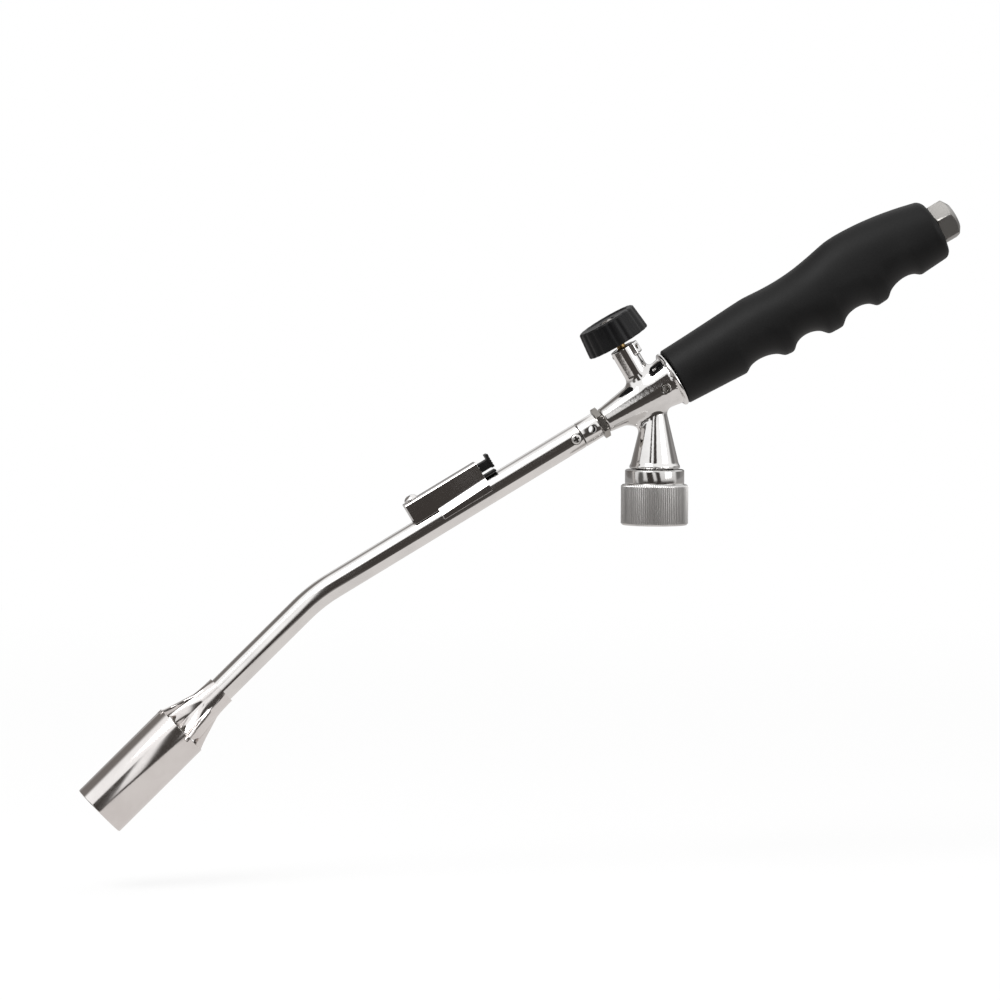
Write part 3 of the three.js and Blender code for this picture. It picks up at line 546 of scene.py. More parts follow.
def inlet_stem():
    flange_low, flange_top, flange_r, nose = 15.0, 18.6, 10.8, 4.9
    outline = [
        (1.6, 6, 0.2), (nose - 1.1, 6, 0.4), (nose, 8, 0.5), (nose, flange_low - 2.9),
        (nose - 0.35, flange_low - 2.5, 0.15), (nose, flange_low - 2.1), (nose, flange_low, 0.15),
        (flange_r, flange_low, 0.3), (flange_r, flange_top, 0.3), (5.0, flange_top, 0.1),
        (5.0, 26.2, 0.4), (3.2, 26.2, 0.1), (3.2, 22.0), (1.6, 22.0),
    ]
    simple_turned("inlet_stem_turned", "inlet_stem", outline, INLET, BRASS, closed=True, segments=72)


def inlet_small_pieces():
    washer = [(5.1, 12.9, 0.3), (9.6, 12.9, 0.5), (9.6, 14.7, 0.5), (5.1, 14.7, 0.3)]
    simple_turned("inlet_seal_washer", "inlet_seal", washer, INLET, SEAL_RUBBER, closed=True)
    pin = [(0, 3), (0.6, 3, 0.2), (1.0, 3.6, 0.2), (1.0, 10), (1.45, 10.4, 0.15), (1.45, 14, 0.15)]
    pin += [(1.0, 14.4), (1.0, 18, 0.2), (0, 18)]
    simple_turned("probe_pin_turned", "probe_pin", pin, INLET, SHEET, segments=32)
    disc = [(0, 22.3), (3.0, 22.3, 0.3), (3.0, 25.8, 0.3), (0, 25.8)]
    simple_turned("inlet_filter_disc", "inlet_filter", disc, INLET, SINTER, segments=48)


# ---- valve body: an implicit surface, so that its cast corners flow into each other ----
BODY_LENGTH = 35.1
FLANGE_R = 12.3
INLET_HEIGHT = 57.2


def smooth_min(a, b, k):
    h = np.clip(0.5 + 0.5 * (b - a) / k, 0, 1)
    return b + (a - b) * h - k * h * (1 - h)


def smooth_max(a, b, k):
    return -smooth_min(-a, -b, k)


def rod_field(along, across, r, start, end, k=0.5):
    """Signed distance of a round rod; `along` and `across` are its own coordinates."""
    return smooth_max(across - r, np.maximum(start - along, along - end), k)


def to_frame(points, place):
    return (points - np.array(place.translation)) @ np.array(place.to_3x3())


def body_field(points):
    """Negative inside the casting; points are rows of shared-frame millimetres."""
    a, y, v = to_frame(points, BARREL).T  # along the barrel, across it and up from it
    rho = np.hypot(y, v)
    small_r, flare_r, flare_length, rim_r = 5.4, 5.2, 32.0, 0.95
    t = np.clip((a - 0.4) / flare_length, 0, 1)
    trumpet_r = small_r + flare_r * (0.85 * t + 0.15 * t * t) - np.maximum(0, 0.5 - a) * 0.8
    trumpet = smooth_max((rho - trumpet_r) * 0.985, np.maximum(-a, a - 33.3), 0.5)
    from_rim = np.stack([rho - (FLANGE_R - rim_r), np.abs(a - BODY_LENGTH + rim_r)], 1)
    flange = np.hypot(*np.maximum(from_rim, 0).T) - rim_r
    trumpet = smooth_min(trumpet, flange, 0.35)

    up, b_y, b_z = to_frame(points, BOSS).T
    boss_rho = np.hypot(b_y, b_z)
    boss = rod_field(up, boss_rho, 5.375, 0, 22.7)
    turn = math.radians(LUG_TURN)
    radial = -b_z * math.cos(turn) + b_y * math.sin(turn)
    tangential = b_z * math.sin(turn) + b_y * math.cos(turn)
    from_lug = [np.abs(radial - 5.1) - 1.5, np.abs(tangential) - 1.95, np.abs(up - 20.1) - 2.35]
    from_lug = np.stack(from_lug, 1)
    lug = np.linalg.norm(np.maximum(from_lug, 0), axis=1) + np.minimum(from_lug.max(1), 0) - 0.25
    boss = smooth_min(boss, lug, 0.25)

    x, depth, z = points.T
    cone_rho = np.hypot(x, depth)
    foot = 24.0
    cone_r = np.interp(z, [foot, foot + 0.9, foot + 2.2, 49.4, 60], [10.75, 10.72, 10.1, 4.5, 4.5])
    cone = smooth_max((cone_rho - cone_r) * 0.972, np.maximum(foot - z, z - INLET_HEIGHT), 0.5)
    spigot = rod_field(z, cone_rho, 8.0, 18.9, 26, 0.4)
    web_start, web_end = np.array((-9.4, 0, 44.6)), np.array((-3.0, 0, 41.0))
    span = web_end - web_start
    share = np.clip((points - web_start) @ span / (span @ span), 0, 1)
    web = np.linalg.norm(points - web_start - share[:, None] * span, axis=1) - 2.1

    solid = smooth_min(trumpet, boss, 3.0)
    solid = smooth_min(solid, smooth_min(cone, web, 2.4), 3.2)
    solid = smooth_min(solid, spigot, 0.3)

    g_along, g_y, g_z = to_frame(points, GRIP).T
    holes = [
        rod_field(a, rho, 4.05, -2, 8),  # collar
        rod_field(a, rho, 2.3, -2, 14.6),  # gas jet
        rod_field(y, np.hypot(a - PIN_AT, v - PIN_HEIGHT), 1.85, -20, 20),  # roll pin
        rod_field(up, boss_rho, 4.0, 16.5, 30),  # gland nut
        rod_field(up, boss_rho, 3.0, 12.0, 30),  # stem seal
        rod_field(up, boss_rho, 2.3, -0.5, 30),  # spindle
        rod_field(radial, np.hypot(tangential, up - STOP_AT), 0.9, 3, 9),  # stop screw
        rod_field(z, cone_rho, 5.2, 10, 26.7),  # inlet stem
        rod_field(z, cone_rho, 1.5, 10, 52.2),  # gas
        rod_field(g_along, np.hypot(g_y, g_z), 3.2, -9.95, 5),  # tie rod
    ]
    for hole in holes:
        solid = smooth_max(solid, -hole, 0.25)
    return solid


def surface_net(field, low, high, step):
    """Quads on the zero level of a field, with each vertex pulled onto the level afterwards."""
    axes = [np.arange(low[k], high[k], step) for k in range(3)]
    grid = np.stack(np.meshgrid(*axes, indexing="ij"), -1)
    shape = grid.shape[:3]
    values = field(grid.reshape(-1, 3)).reshape(shape)
    inside = values < 0
    corners = sum(
        inside[i : shape[0] - 1 + i, j : shape[1] - 1 + j, k : shape[2] - 1 + k].astype(np.int8)
        for i in (0, 1)
        for j in (0, 1)
        for k in (0, 1)
    )
    mixed = (corners > 0) & (corners < 8)
    index = -np.ones(mixed.shape, int)
    index[mixed] = np.arange(mixed.sum())
    cells = np.argwhere(mixed)
    points = np.array([axes[k][cells[:, k]] for k in range(3)]).T + step / 2
    faces = []
    for axis in range(3):
        u, w = [k for k in range(3) if k != axis]
        first = [slice(1, -1)] * 3
        first[axis] = slice(0, shape[axis] - 1)
        second = list(first)
        second[axis] = slice(1, shape[axis])
        crossing = np.argwhere(inside[tuple(first)] != inside[tuple(second)])
        crossing += np.array([0 if k == axis else 1 for k in range(3)])
        step_u, step_w = np.eye(3, dtype=int)[u], np.eye(3, dtype=int)[w]
        ring = [crossing, crossing - step_u, crossing - step_u - step_w, crossing - step_w]
        quads = np.stack([index[tuple(c.T)] for c in ring], 1)
        faces.append(quads)
    eps = 1e-3
    for _ in range(6):
        here = field(points)
        slope = np.stack([(field(points + eps * e) - here) / eps for e in np.eye(3)], 1)
        length = np.maximum((slope**2).sum(1), 0.2)
        points -= np.clip(here / length, -step, step)[:, None] * slope
    return points, np.concatenate(faces)


def valve_body():
    shape = surface_net(body_field, (-26, -13.2, 18.0), (16, 13.2, 80.5), 0.42)
    shared = Matrix.Identity(4)
    node_skin("valve_body_casting", "valve_body", shape, shared, CAST_CHROME, math.radians(50))


def valve_trim():
    sleeve = [(1.1, -9.75, 0.1), (1.7, -9.75, 0.2), (1.7, 9.75, 0.2), (1.1, 9.75, 0.1)]
    simple_turned("roll_pin_rolled", "body_roll_pin", sleeve, BODY_PIN, DARK_STEEL, closed=True, segments=48)
    nozzle = [(0.4, 8.4), (0.9, 8.4, 0.2), (2.1, 9.8, 0.2), (2.1, 14.3, 0.1), (0.4, 14.3)]
    simple_turned("gas_jet_turned", "gas_jet", nozzle, BARREL, BRASS, closed=True, segments=32)
    nut = [(2.1, 16.8), (3.8, 16.8, 0.2), (3.8, 22.3, 0.35), (2.1, 22.3, 0.2)]
    gland = simple_turned("gland_nut_turned", "gland_nut", nut, BOSS, BRASS, closed=True)
    cut_with(gland, box_cutter(BOSS, (21.3, -0.5, -5), (24, 0.5, 5)))
    seal = [(1.5, 13.4, 0.6), (2.82, 13.4, 0.6), (2.82, 14.7, 0.6), (1.5, 14.7, 0.6)]
    simple_turned("stem_seal_ring", "stem_o_ring", seal, BOSS, SEAL_RUBBER, closed=True, segments=48)
    stop = turned(turned(BOSS, (STOP_AT, 0, 0), LUG_TURN, "X"), (0, 0, 0), 90, "Y")
    point = [(0, -6.3), (0.72, -6.3, 0.15), (0.72, -4.1, 0.1), (0, -4.1)]
    simple_turned("stop_screw_point", "stem_stop_screw", point, stop, DARK_STEEL, segments=24)
    needle = [(0, -1.3), (0.25, -1.3, 0.1), (1.5, 0.9, 0.2), (1.95, 1.7, 0.1), (1.95, 12.5, 0.1), (1.3, 13.1)]
    needle += [(1.3, 15.0), (1.9, 15.4, 0.1), (1.9, 32.5, 0.2), (1.1, 32.5, 0.1), (1.1, 28.1), (0, 28.1)]
    simple_turned("spindle_turned", "valve_spindle", needle, BOSS, BRASS)


# ---- knob ----
FLUTES = 20


def control_knob():
    low, high, bottom_r, top_r = 25.2, 36.3, 14.1, 13.0
    outline = rounded(
        [
            (2.1, low + 1.2), (5.2, low + 1.2, 0.4), (6.2, low, 0.4), (bottom_r - 0.35, low, 0.15),
            (bottom_r, low + 0.4, 0.2), (bottom_r - 0.35, low + 4), (bottom_r - 0.72, low + 7.5),
            (top_r + 0.05, high - 0.6, 0.3), (top_r - 0.75, high, 0.3), (top_r - 2.6, high, 0.3),
            (top_r - 3.2, high - 0.55, 0.4), (6.4, high - 0.75), (4.4, high - 0.6, 0.3),
            (3.6, high - 0.8, 0.3), (3.6, high - 2.1, 0.2), (1.3, high - 2.1), (1.3, 32.8), (2.1, 32.8),
        ],
        closed=True,
        steps=5,
    )

    rim, run_in, flute_depth = top_r - 2.2, 1.6, 0.36

    def fluted(angle, r, _):
        if r < rim:
            return r
        reach = min(1.0, (r - rim) / run_in)
        wave = 0.5 - 0.5 * math.cos(FLUTES * angle)
        return r - flute_depth * reach * wave**2.2

    shape = revolve(outline, FLUTES * 14, True, fluted)
    node_skin("control_knob_fluted", "control_knob", shape, BOSS, KNOB_PLASTIC)


def knob_screw():
    outline = [(0, 28.6), (0.85, 28.6, 0.2), (0.85, 34.5), (3.0, 34.5, 0.2), (3.0, 35.1, 0.5)]
    outline += [(1.6, 35.95, 1.5), (0, 36.0)]
    screw = simple_turned("knob_screw_turned", "knob_screw", outline, BOSS, DARK_STEEL)
    cut_with(screw, *cross_recess(BOSS, 35.2, 37, 0.7, 3.0))


# ---- collar, lock nut, tube ----
TUBE_R = 5.5


def lock_nut():
    front, rear, across = -2.9, -0.3, 12.0
    corner = across / math.sqrt(3)
    half = [(4.05, front), (5.4, front), (6.2, front), (6.6, front + 0.06), (corner, front + 0.16)]
    middle = (front + rear) / 2
    outline = [*half, (corner, middle), *((r, 2 * middle - x) for r, x in reversed(half))]
    shape = revolve(outline, 288, True, hexagon(across, math.radians(30), 5.4))
    node_skin("lock_nut_hex", "lock_nut", shape, BARREL, DARK_STEEL)


def air_collar():
    outline = rounded(
        [
            (2.7, -8, 0.2), (4.3, -8, 0.3), (4.3, 0.3), (TUBE_R, 0.3, 0.1), (TUBE_R, 8.55, 0.22),
            (3.85, 8.55), (3.85, 18.4, 0.3), (2.7, 18.4, 0.2),
        ],
        closed=True,
    )
    piece = skin("air_collar_turned", *revolve(outline, 96, True), TUBE)
    cut_with(piece, rod_cutter(AIR_HOLE, 1.7, -9, 9), rod_cutter(TUBE_SCREW, 1.2, 0, 9))
    stand_for(piece, "air_collar", CHROME)
    # The spigot faces seen through the seam's gap are painted dark: painted shade of the seam.
    second_material(piece, PAINTED_SHADE_METAL, TUBE, lambda x, r: x < 0.29 and r > 4.1)


def tube_path(start, past, straight, bend_steps):
    """Stations (x, z, heading) of the tube's centreline from start to `past` beyond the bend."""
    tangent = BEND_R * math.tan(BEND / 2)
    bend_start = -TO_BEND + tangent
    stations = [(start + (bend_start - start) * i / straight, 0, 0) for i in range(straight)]
    for i in range(bend_steps + 1):
        angle = BEND * i / bend_steps
        stations.append((bend_start - BEND_R * math.sin(angle), -BEND_R * (1 - math.cos(angle)), angle))
    for i in range(1, straight + 1):
        reach = tangent + (past - tangent) * i / straight
        stations.append((-TO_BEND - reach * math.cos(BEND), -reach * math.sin(BEND), BEND))
    return stations


def burner_tube():
    stations = tube_path(-0.25, 64.7, 24, 24)
    start, chamfer = stations[0][0], 0.1
    outside = [disc_ring((start, 0), 0, TUBE_R - chamfer, 72), disc_ring((start - chamfer, 0), 0, TUBE_R, 72)]
    outside += [disc_ring((x, z), h, TUBE_R, 72) for x, z, h in stations[1:]]
    inside = [disc_ring((x, z), h, TUBE_R - 1.0, 72) for x, z, h in reversed(stations)]
    piece = skin("burner_tube_bent", *loft(outside + inside, closed=True), TUBE)
    slot = box_cutter(TUBE, (-79.8, -1.5, 3.0), (-74.6, 1.5, 6.5))
    cut_with(piece, rod_cutter(TUBE_SCREW, 2.4, 0, 9), slot)
    stand_for(piece, "burner_tube", CHROME)


def tube_screw():
    outline = [(0, 3.1), (1.0, 3.1, 0.2), (1.0, 4.75), (2.15, 4.75, 0.1), (2.15, 5.35, 0.25)]
    outline += [(1.6, 5.75, 0.4), (0, 5.9)]
    screw = simple_turned("tube_screw_pan", "tube_screw", outline, TUBE_SCREW, BRIGHT_ZINC)
    cut_with(screw, *cross_recess(TUBE_SCREW, 5.1, 7, 0.8, 2.7))
    # The faces of the cross recess are painted dark: painted shade in the recess.
    second_material(screw, PAINTED_SHADE_METAL, TUBE_SCREW, lambda x, r: 5.0 < x < 5.6 and r < 1.4)


# ---- igniter ----
BRACKET_TOP = 13.6
BRACKET_HALF = 4.5
SHEET_T = 0.8


def bracket_outline(low, flare):
    """Half section (y, z) of the sheet from the top's middle down its outside and back inside."""
    inner = BRACKET_HALF - SHEET_T
    outer = [(0, BRACKET_TOP), (BRACKET_HALF, BRACKET_TOP, 1.0)]
    back = [(inner, BRACKET_TOP - SHEET_T, 0.3), (0, BRACKET_TOP - SHEET_T)]
    if flare:
        hug, drop = TUBE_R + 0.25, 3.3
        outside = hug + SHEET_T
        outer += [(BRACKET_HALF, low, 2.8), (outside, low - drop, 0.8), (outside - 0.05, 0.05, 0.2)]
        back = [(hug, 0.05, 0.1), (hug, low - drop - 0.25, 0.6), (inner, low - 0.35, 2.4)] + back
    else:
        outer += [(BRACKET_HALF, low, 0.25)]
        back = [(inner, low, 0.25)] + back
    return rounded(outer + back)


def igniter_bracket():
    """A plain front and a flared saddle of bent sheet, joined and closed by a front plate."""

    def ring(x, low, flare):
        half = bracket_outline(low, flare)
        mirrored = [(-y, z) for y, z in reversed(half[1:-1])]
        return [(x, y, z) for y, z in half + mirrored]

    front_end, saddle, rear = -79.4, -68.0, -44.5
    edge = BRACKET_HALF - 0.25
    front = skin("bracket_front", *loft([ring(x, 4.3, False) for x in (front_end, saddle + 0.2)]), TUBE)
    shares = [i / 12 for i in range(13)]
    saddle_rings = [ring(saddle + (rear - saddle) * share, 5.3 + 0.9 * share, True) for share in shares]
    back = skin("bracket_saddle", *loft(saddle_rings), TUBE)
    plate = box_cutter(TUBE, (front_end, -edge, 5.9), (front_end + SHEET_T, edge, BRACKET_TOP - 0.25))
    unite(front, back, plate)
    cut_with(front, rod_cutter(IGNITER_SCREW, 1.4, 10, 20))
    soften(front, 0.14, angle=50)
    crease(front, math.radians(13))
    front.name = "igniter_bracket_folded"
    stand_for(front, "igniter_bracket", SHEET)


def piezo_unit():
    half, bottom, top = 3.5, 5.9, 12.5
    main = box_cutter(TUBE, (-71.5, -half, bottom), (-47.2, half, top))
    ear = box_cutter(TUBE, (-78.3, -half, 9.8), (-70.5, half, top))
    lip = box_cutter(TUBE, (-48.2, -3.2, bottom), (-38.5, 3.2, bottom + 0.8))
    piece = unite(main, ear, lip)
    cavity = box_cutter(TUBE, (-65.9, -3.0, 7.1), (0, 3.0, top - 0.3))
    cut_with(piece, rod_cutter(IGNITER_SCREW, 1.4, 8, 20), cavity)
    soften(piece, 0.12)
    piece.name = "piezo_unit_body"
    stand_for(piece, "piezo_unit", BLACK_PLASTIC)


def igniter_button():
    shank = box_cutter(TUBE, (-56, -2.8, 8.3), (-38.6, 2.8, 12.0))
    cap = box_cutter(TUBE, (-39.5, -3.4, 8.0), (-38.2, 3.4, 14.0))
    piece = unite(shank, cap)
    grooves = [box_cutter(TUBE, (-38.35, -4, 9.0 + 1.1 * i), (-38, 4, 9.5 + 1.1 * i)) for i in range(4)]
    cut_with(piece, *grooves)
    soften(piece, 0.16, 3)
    piece.name = "igniter_button_cap"
    stand_for(piece, "igniter_button", BLACK_PLASTIC)


def igniter_screw():
    seat, dome_r, dome_height = BRACKET_TOP + 0.3, 2.9, 2.0
    angles = np.linspace(0.12, math.pi / 2, 14)[:-1]
    dome = [(dome_r * math.cos(t), seat + dome_height * math.sin(t)) for t in angles]
    outline = [(0, 8.6), (1.2, 8.6), (1.2, seat), (2.8, seat), *dome, (0, seat + dome_height)]
    shape = revolve(outline, 64)
    screw = node_skin("igniter_screw_dome", "igniter_screw", shape, IGNITER_SCREW, CHROME)
    cut_with(screw, *cross_recess(IGNITER_SCREW, seat + 1.1, seat + 3, 0.75, 2.9))


def igniter_spring():
    length, turns, steps, coil_r, wire, travel = 8.44, 6, 240, 1.7, 0.28, 4.6
    seat_at, height = -65.02, 9.65
    rings = []
    for i in range(steps + 1):
        turn = 2 * math.pi * turns * i / steps
        ring = []
        for angle in round_angles(10):
            r = coil_r + wire * math.cos(angle)
            x = seat_at + length * i / steps - wire * math.sin(angle)
            ring.append((x, r * math.cos(turn), height + r * math.sin(turn)))
        rings.append(ring)
    coil = node_skin("igniter_spring_coil", "igniter_spring", loft(rings), TUBE, SPRING_WIRE)
    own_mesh(coil)


def ignition_lead():
    """From the piezo unit through the tube's slot on a smooth curve, then along the tube's middle."""
    knots = [(-71.8, 8.0), (-73.6, 7.7), (-75.6, 6.4), (-77.4, 4.2)]
    knots += [(-79.4, 2.2), (-82.2, 0.8), (-86, 0.1), (-90, 0)]
    stations = []
    padded = [knots[0], *knots, knots[-1]]
    for i in range(1, len(padded) - 2):
        p0, p1, p2, p3 = (np.array(padded[i + k], float) for k in (-1, 0, 1, 2))
        for s in np.linspace(0, 1, 5)[:-1]:
            p = 0.5 * (2 * p1 + (p2 - p0) * s + (2 * p0 - 5 * p1 + 4 * p2 - p3) * s**2)
            p = p + 0.5 * (3 * p1 - p0 - 3 * p2 + p3) * s**3
            stations.append(p)
    headed = []
    for here, there in zip(stations, stations[1:] + [np.array((-90.0, 0.0))]):
        step = there - here
        headed.append((here[0], here[1], math.atan2(-step[1], -step[0])))
    headed += tube_path(-90.5, 59.7, 12, 12)
    rings = [disc_ring((x, z), h, 0.9, 16) for x, z, h in headed]
    node_skin("ignition_lead_wire", "ignition_lead", loft(rings), TUBE, LEAD_JACKET)


# ---- burner ----
NECK_START = 55.7
NECK_LENGTH = 23.3
NECK_SOCKET = 0.4  # share of the neck that is a plain socket
FLAME_R = 12.0


def from_ridge(angle):
    """How far an angle about the neck is from the nearest of its four ridges."""
    return abs((angle + math.pi / 4) % (math.pi / 2) - math.pi / 4)


def neck_radius(t, angle, inset):
    """Four folded ridges with hollow panels between them; the ridges open out towards the flame tube."""
    mouth, fold, waist, end = TUBE_R + 0.85, 1.04, 5.2, FLAME_R - 0.1
    open_share = max(0.0, (t - NECK_SOCKET) / (1 - NECK_SOCKET))
    crest = mouth + fold * min(1.0, t / NECK_SOCKET) + (end - mouth - fold) * open_share
    valley = mouth + (waist - mouth) * open_share
    away = from_ridge(angle)
    flat = 0.7 / crest
    side = flat + 0.75 / crest
    shoulder = 0.58
    if away < flat:
        lobe = 1.0
    elif away < side:
        fall = (away - flat) / (side - flat)
        lobe = 1.0 - (1.0 - shoulder) * (3 * fall**2 - 2 * fall**3)
    else:
        lobe = shoulder * (1 - (away - side) / (math.pi / 4 - side)) ** 1.2
    if open_share == 0:
        smooth = (0.5 + 0.5 * math.cos(4 * angle)) ** 2
        share = t / NECK_SOCKET
        lobe = smooth * (1 - share) + lobe * share
    return valley + (crest - valley) * lobe - inset


def burner_neck():
    """Each ridge ends in a tab over the flame tube's rim, with an air window cut back beside it."""
    sides, rows, sheet = 320, 48, 0.8
    tab_half, tab_length, tab_lift = 0.15, 2.2, 0.75
    window_at, window_half, window_depth = 0.34, 0.11, 2.4

    def ring(t, inset):
        points = []
        turn = math.radians(24 - 9 * t)
        late = max(0.0, (t - 0.8) / 0.2)
        for angle in round_angles(sides):
            beside = from_ridge(angle)
            tab = max(0.0, 1 - (beside / tab_half) ** 2) * late**2
            window = math.exp(-(((beside - window_at) / window_half) ** 2)) * late
            thickness = inset * (1 - 0.55 * min(1.0, tab * 2))
            plain = inset > 0 and t <= NECK_SOCKET
            lift = tab_lift * min(1.0, tab * 1.6)
            r = TUBE_R + 0.2 if plain else neck_radius(t, angle, thickness) + lift
            x = -NECK_START - NECK_LENGTH * t + window_depth * window - tab_length * tab
            points.append((x, r * math.cos(angle + turn), r * math.sin(angle + turn)))
        return points

    steps = [i / rows for i in range(rows + 1)]
    outside = [ring(t, 0) for t in steps]
    inside = [ring(t, sheet) for t in reversed(steps)]
    shape = loft(outside + inside, closed=True)
    node_skin("burner_neck_crimped", "burner_neck", shape, BURNER, BURNER_STEEL, math.radians(45))


def flame_tube():
    start = -NECK_START - NECK_LENGTH - 0.3
    end = start - 48.1
    inner = FLAME_R - 0.9
    wall = [(inner, end, 0.25), (FLAME_R, end, 0.4), (FLAME_R, start, 0.08), (inner, start, 0.08)]
    simple_turned("flame_tube_rolled", "flame_tube", wall, BURNER, BURNER_STEEL, closed=True, segments=144)


def electrode():
    tube = [(0, -84), (1.3, -84, 0.2), (1.6, -83.5, 0.2), (1.6, -60.5, 0.2), (1.3, -60), (0, -60)]
    simple_turned("electrode_insulator_tube", "electrode_insulator", tube, BURNER, CERAMIC, segments=40)
    knots = [(-84.3, 0.0, 0.0), (-88.5, 0.0, 0.05), (-89.6, 0.15, 0.3), (-91.6, 0.9, 0.65), (-94.4, 4.0, 0.9)]
    knots += [(-98.0, 8.6, 0.9)]
    rings = [disc_ring((x, z), -lean, 0.45, 20) for x, z, lean in knots]
    node_skin("spark_electrode_wire", "spark_electrode", loft(rings), BURNER, SHEET)


# ---- handle ----
GRIP_LENGTH = 129.0
TOP_LINE = [
    (0, 12.7), (14, 13.3), (28, 14.05), (38, 14.6), (41, 14.72), (44, 14.6), (50, 14.2), (58, 14.1),
    (66, 14.65), (74, 15.9), (81, 17.3), (84, 17.85), (87, 18.1), (96, 18.0), (106, 17.1), (116, 15.5),
    (129, 12.6),
]
RIDGE_LINE = [
    (0, 12.3), (14, 13.0), (28, 13.75), (48, 15.7), (70, 17.1), (92, 16.95), (115, 14.9), (129, 14.0),
]
# each finger groove: its middle along the grip, half its length, and its depth
FINGERS = [(36.9, 8.6, 3.3), (58.5, 8.0, 4.4), (82.3, 8.2, 4.15), (105.1, 8.3, 3.6)]


def smooth_line(knots, s):
    """A smooth cubic through knots (x, y), read at the stations s."""
    x = np.array([k[0] for k in knots], float)
    y = np.array([k[1] for k in knots], float)
    slope = np.gradient(y, x)
    i = np.clip(np.searchsorted(x, s) - 1, 0, len(x) - 2)
    h = x[i + 1] - x[i]
    t = (s - x[i]) / h
    h00, h10 = 2 * t**3 - 3 * t**2 + 1, t**3 - 2 * t**2 + t
    h01, h11 = -2 * t**3 + 3 * t**2, t**3 - t**2
    return h00 * y[i] + h10 * h * slope[i] + h01 * y[i + 1] + h11 * h * slope[i + 1]


def grip_lines():
    """Stations along the grip with top and under heights; the under line's ridges are softened."""
    s = np.linspace(0, GRIP_LENGTH, 260)
    top = smooth_line(TOP_LINE, s)
    ridge = smooth_line(RIDGE_LINE, s)
    dip = np.zeros_like(s)
    for at, half, depth in FINGERS:
        x = np.clip(np.abs((s - at) / half), 0, 1)
        dip = np.maximum(dip, depth * (1 - x * x) ** 0.6)
    kernel = np.exp(-0.5 * (np.arange(-4, 5) / 1.5) ** 2)
    dip = np.convolve(np.pad(dip, 4, mode="edge"), kernel / kernel.sum(), mode="valid")
    return s, top, ridge - dip, dip


def handle_grip():
    sides, half_width, bulge, front_round, rear_round = 128, 12.6, 1.1, 0.7, 2.8
    s, top, under, dip = grip_lines()
    rings = []
    for here, high, low, groove in zip(s, top, under, dip):
        front = max(0.0, front_round - here)
        past = max(0.0, here - (GRIP_LENGTH - rear_round))
        inset = front_round - math.sqrt(max(0.0, front_round**2 - front**2))
        inset += rear_round - math.sqrt(max(0.0, rear_round**2 - past**2))
        width = half_width + bulge * math.sin(math.pi * here / GRIP_LENGTH) - inset
        ring = []
        for angle in round_angles(sides):
            c, n = math.cos(angle), math.sin(angle)
            below = max(0.0, -n)
            reach = high if n > 0 else low
            pinch = 1 - 0.02 * groove * below * (1 - below)
            ring.append((here, width * c * pinch, (reach - inset) * n))
        rings.append(ring)
    piece = skin("handle_grip_moulded", *loft(rings), GRIP, sharp=math.radians(60))
    bore = rod_cutter(GRIP, 3.3, -2, GRIP_LENGTH + 2)
    pocket = rod_cutter(GRIP, 9.8, GRIP_LENGTH - 1.5, GRIP_LENGTH + 2, 96)
    cut_with(piece, bore, pocket)
    stand_for(piece, "handle_grip", SOFT_GRIP)


def handle_cap_nut():
    front, across, height, bore = GRIP_LENGTH + 0.4, 16.0, 9.0, 3.15
    end = front + height
    corner, bottom = across / math.sqrt(3), end - 2.6
    cone_width, cone_drop, steps = 3.3, 2.3, 14
    outline = [(0, end), (corner - cone_width - 0.3, end), (corner - cone_width, end - 0.08)]
    for i in range(1, steps + 1):
        outline.append((corner - cone_width * (1 - i / steps), end - 0.08 - cone_drop * i / steps))
    outline += [(corner, end - 4.5), (corner, front + 0.5), (corner - 0.4, front + 0.12)]
    outline += [(corner - 1.0, front), (bore, front), (bore, bottom), (0, bottom)]
    shape = revolve(outline, 360, False, hexagon(across, math.radians(45.6), 4))
    node_skin("handle_cap_nut_hex", "handle_cap_nut", shape, GRIP, ZINC)


def handle_inner_pieces():
    low, high, end = GRIP_LENGTH - 1.2, GRIP_LENGTH, GRIP_LENGTH + 6.4
    washer = [(3.3, low, 0.1), (9.4, low, 0.2), (9.4, high, 0.2), (3.3, high, 0.1)]
    simple_turned("handle_washer_flat", "handle_washer", washer, GRIP, ZINC, closed=True)
    bar = [(0, -9.65), (3.0, -9.65, 0.5), (3.0, end, 0.5), (0, end)]
    rod = simple_turned("handle_tie_rod_bar", "handle_tie_rod", bar, GRIP, SHEET, segments=48)
    cut_with(rod, rod_cutter(turned(GRIP, (PIN_AT - GRIP_FRONT, 0, PIN_HEIGHT), 90, "Z"), 2.1, -8, 8))


# ---- stage ----
LENS_MM = 170.946
SENSOR_MM = 36.0
CAMERA_TURN = math.radians(8.5)
CAMERA_DROP = math.radians(3.0)
CAMERA_ROLL = math.radians(0.26)
CAMERA_RANGE = 2.0
AIM = Vector((-0.0661, 0, 0.01072))
LEVEL = math.cos(CAMERA_DROP)
VIEW_RAY = Vector((math.sin(CAMERA_TURN) * LEVEL, math.cos(CAMERA_TURN) * LEVEL, -math.sin(CAMERA_DROP)))


def camera():
    data = bpy.data.cameras.new("camera")
    data.sensor_width = SENSOR_MM
    data.lens = LENS_MM
    data.clip_end = 200
    lens = placed("camera", data)
    lens.location = AIM - VIEW_RAY * CAMERA_RANGE
    turn = VIEW_RAY.to_track_quat("-Z", "Y") @ Quaternion((0, 0, 1), CAMERA_ROLL)
    lens.rotation_euler = turn.to_euler()
    bpy.context.scene.camera = lens


FLOOR_FAR = 60.0
FLOOR_EDGE = -0.39  # where the sheet ends in front of the torch
FLOOR_GAP = 0.025
# what the boss and the barrel mirror of the floor: limits along one axis, then along the other
DARK_PATCHES = (("X", (-0.48, -0.29), "Y", (-2.0, 0.12)), ("Y", (-2.0, -0.25), "X", (-0.05, 2.0)))


def mix_shader(tree, share, first, second):
    return wired(tree, "ShaderNodeMixShader", {0: share, 1: first, 2: second}).outputs[0]


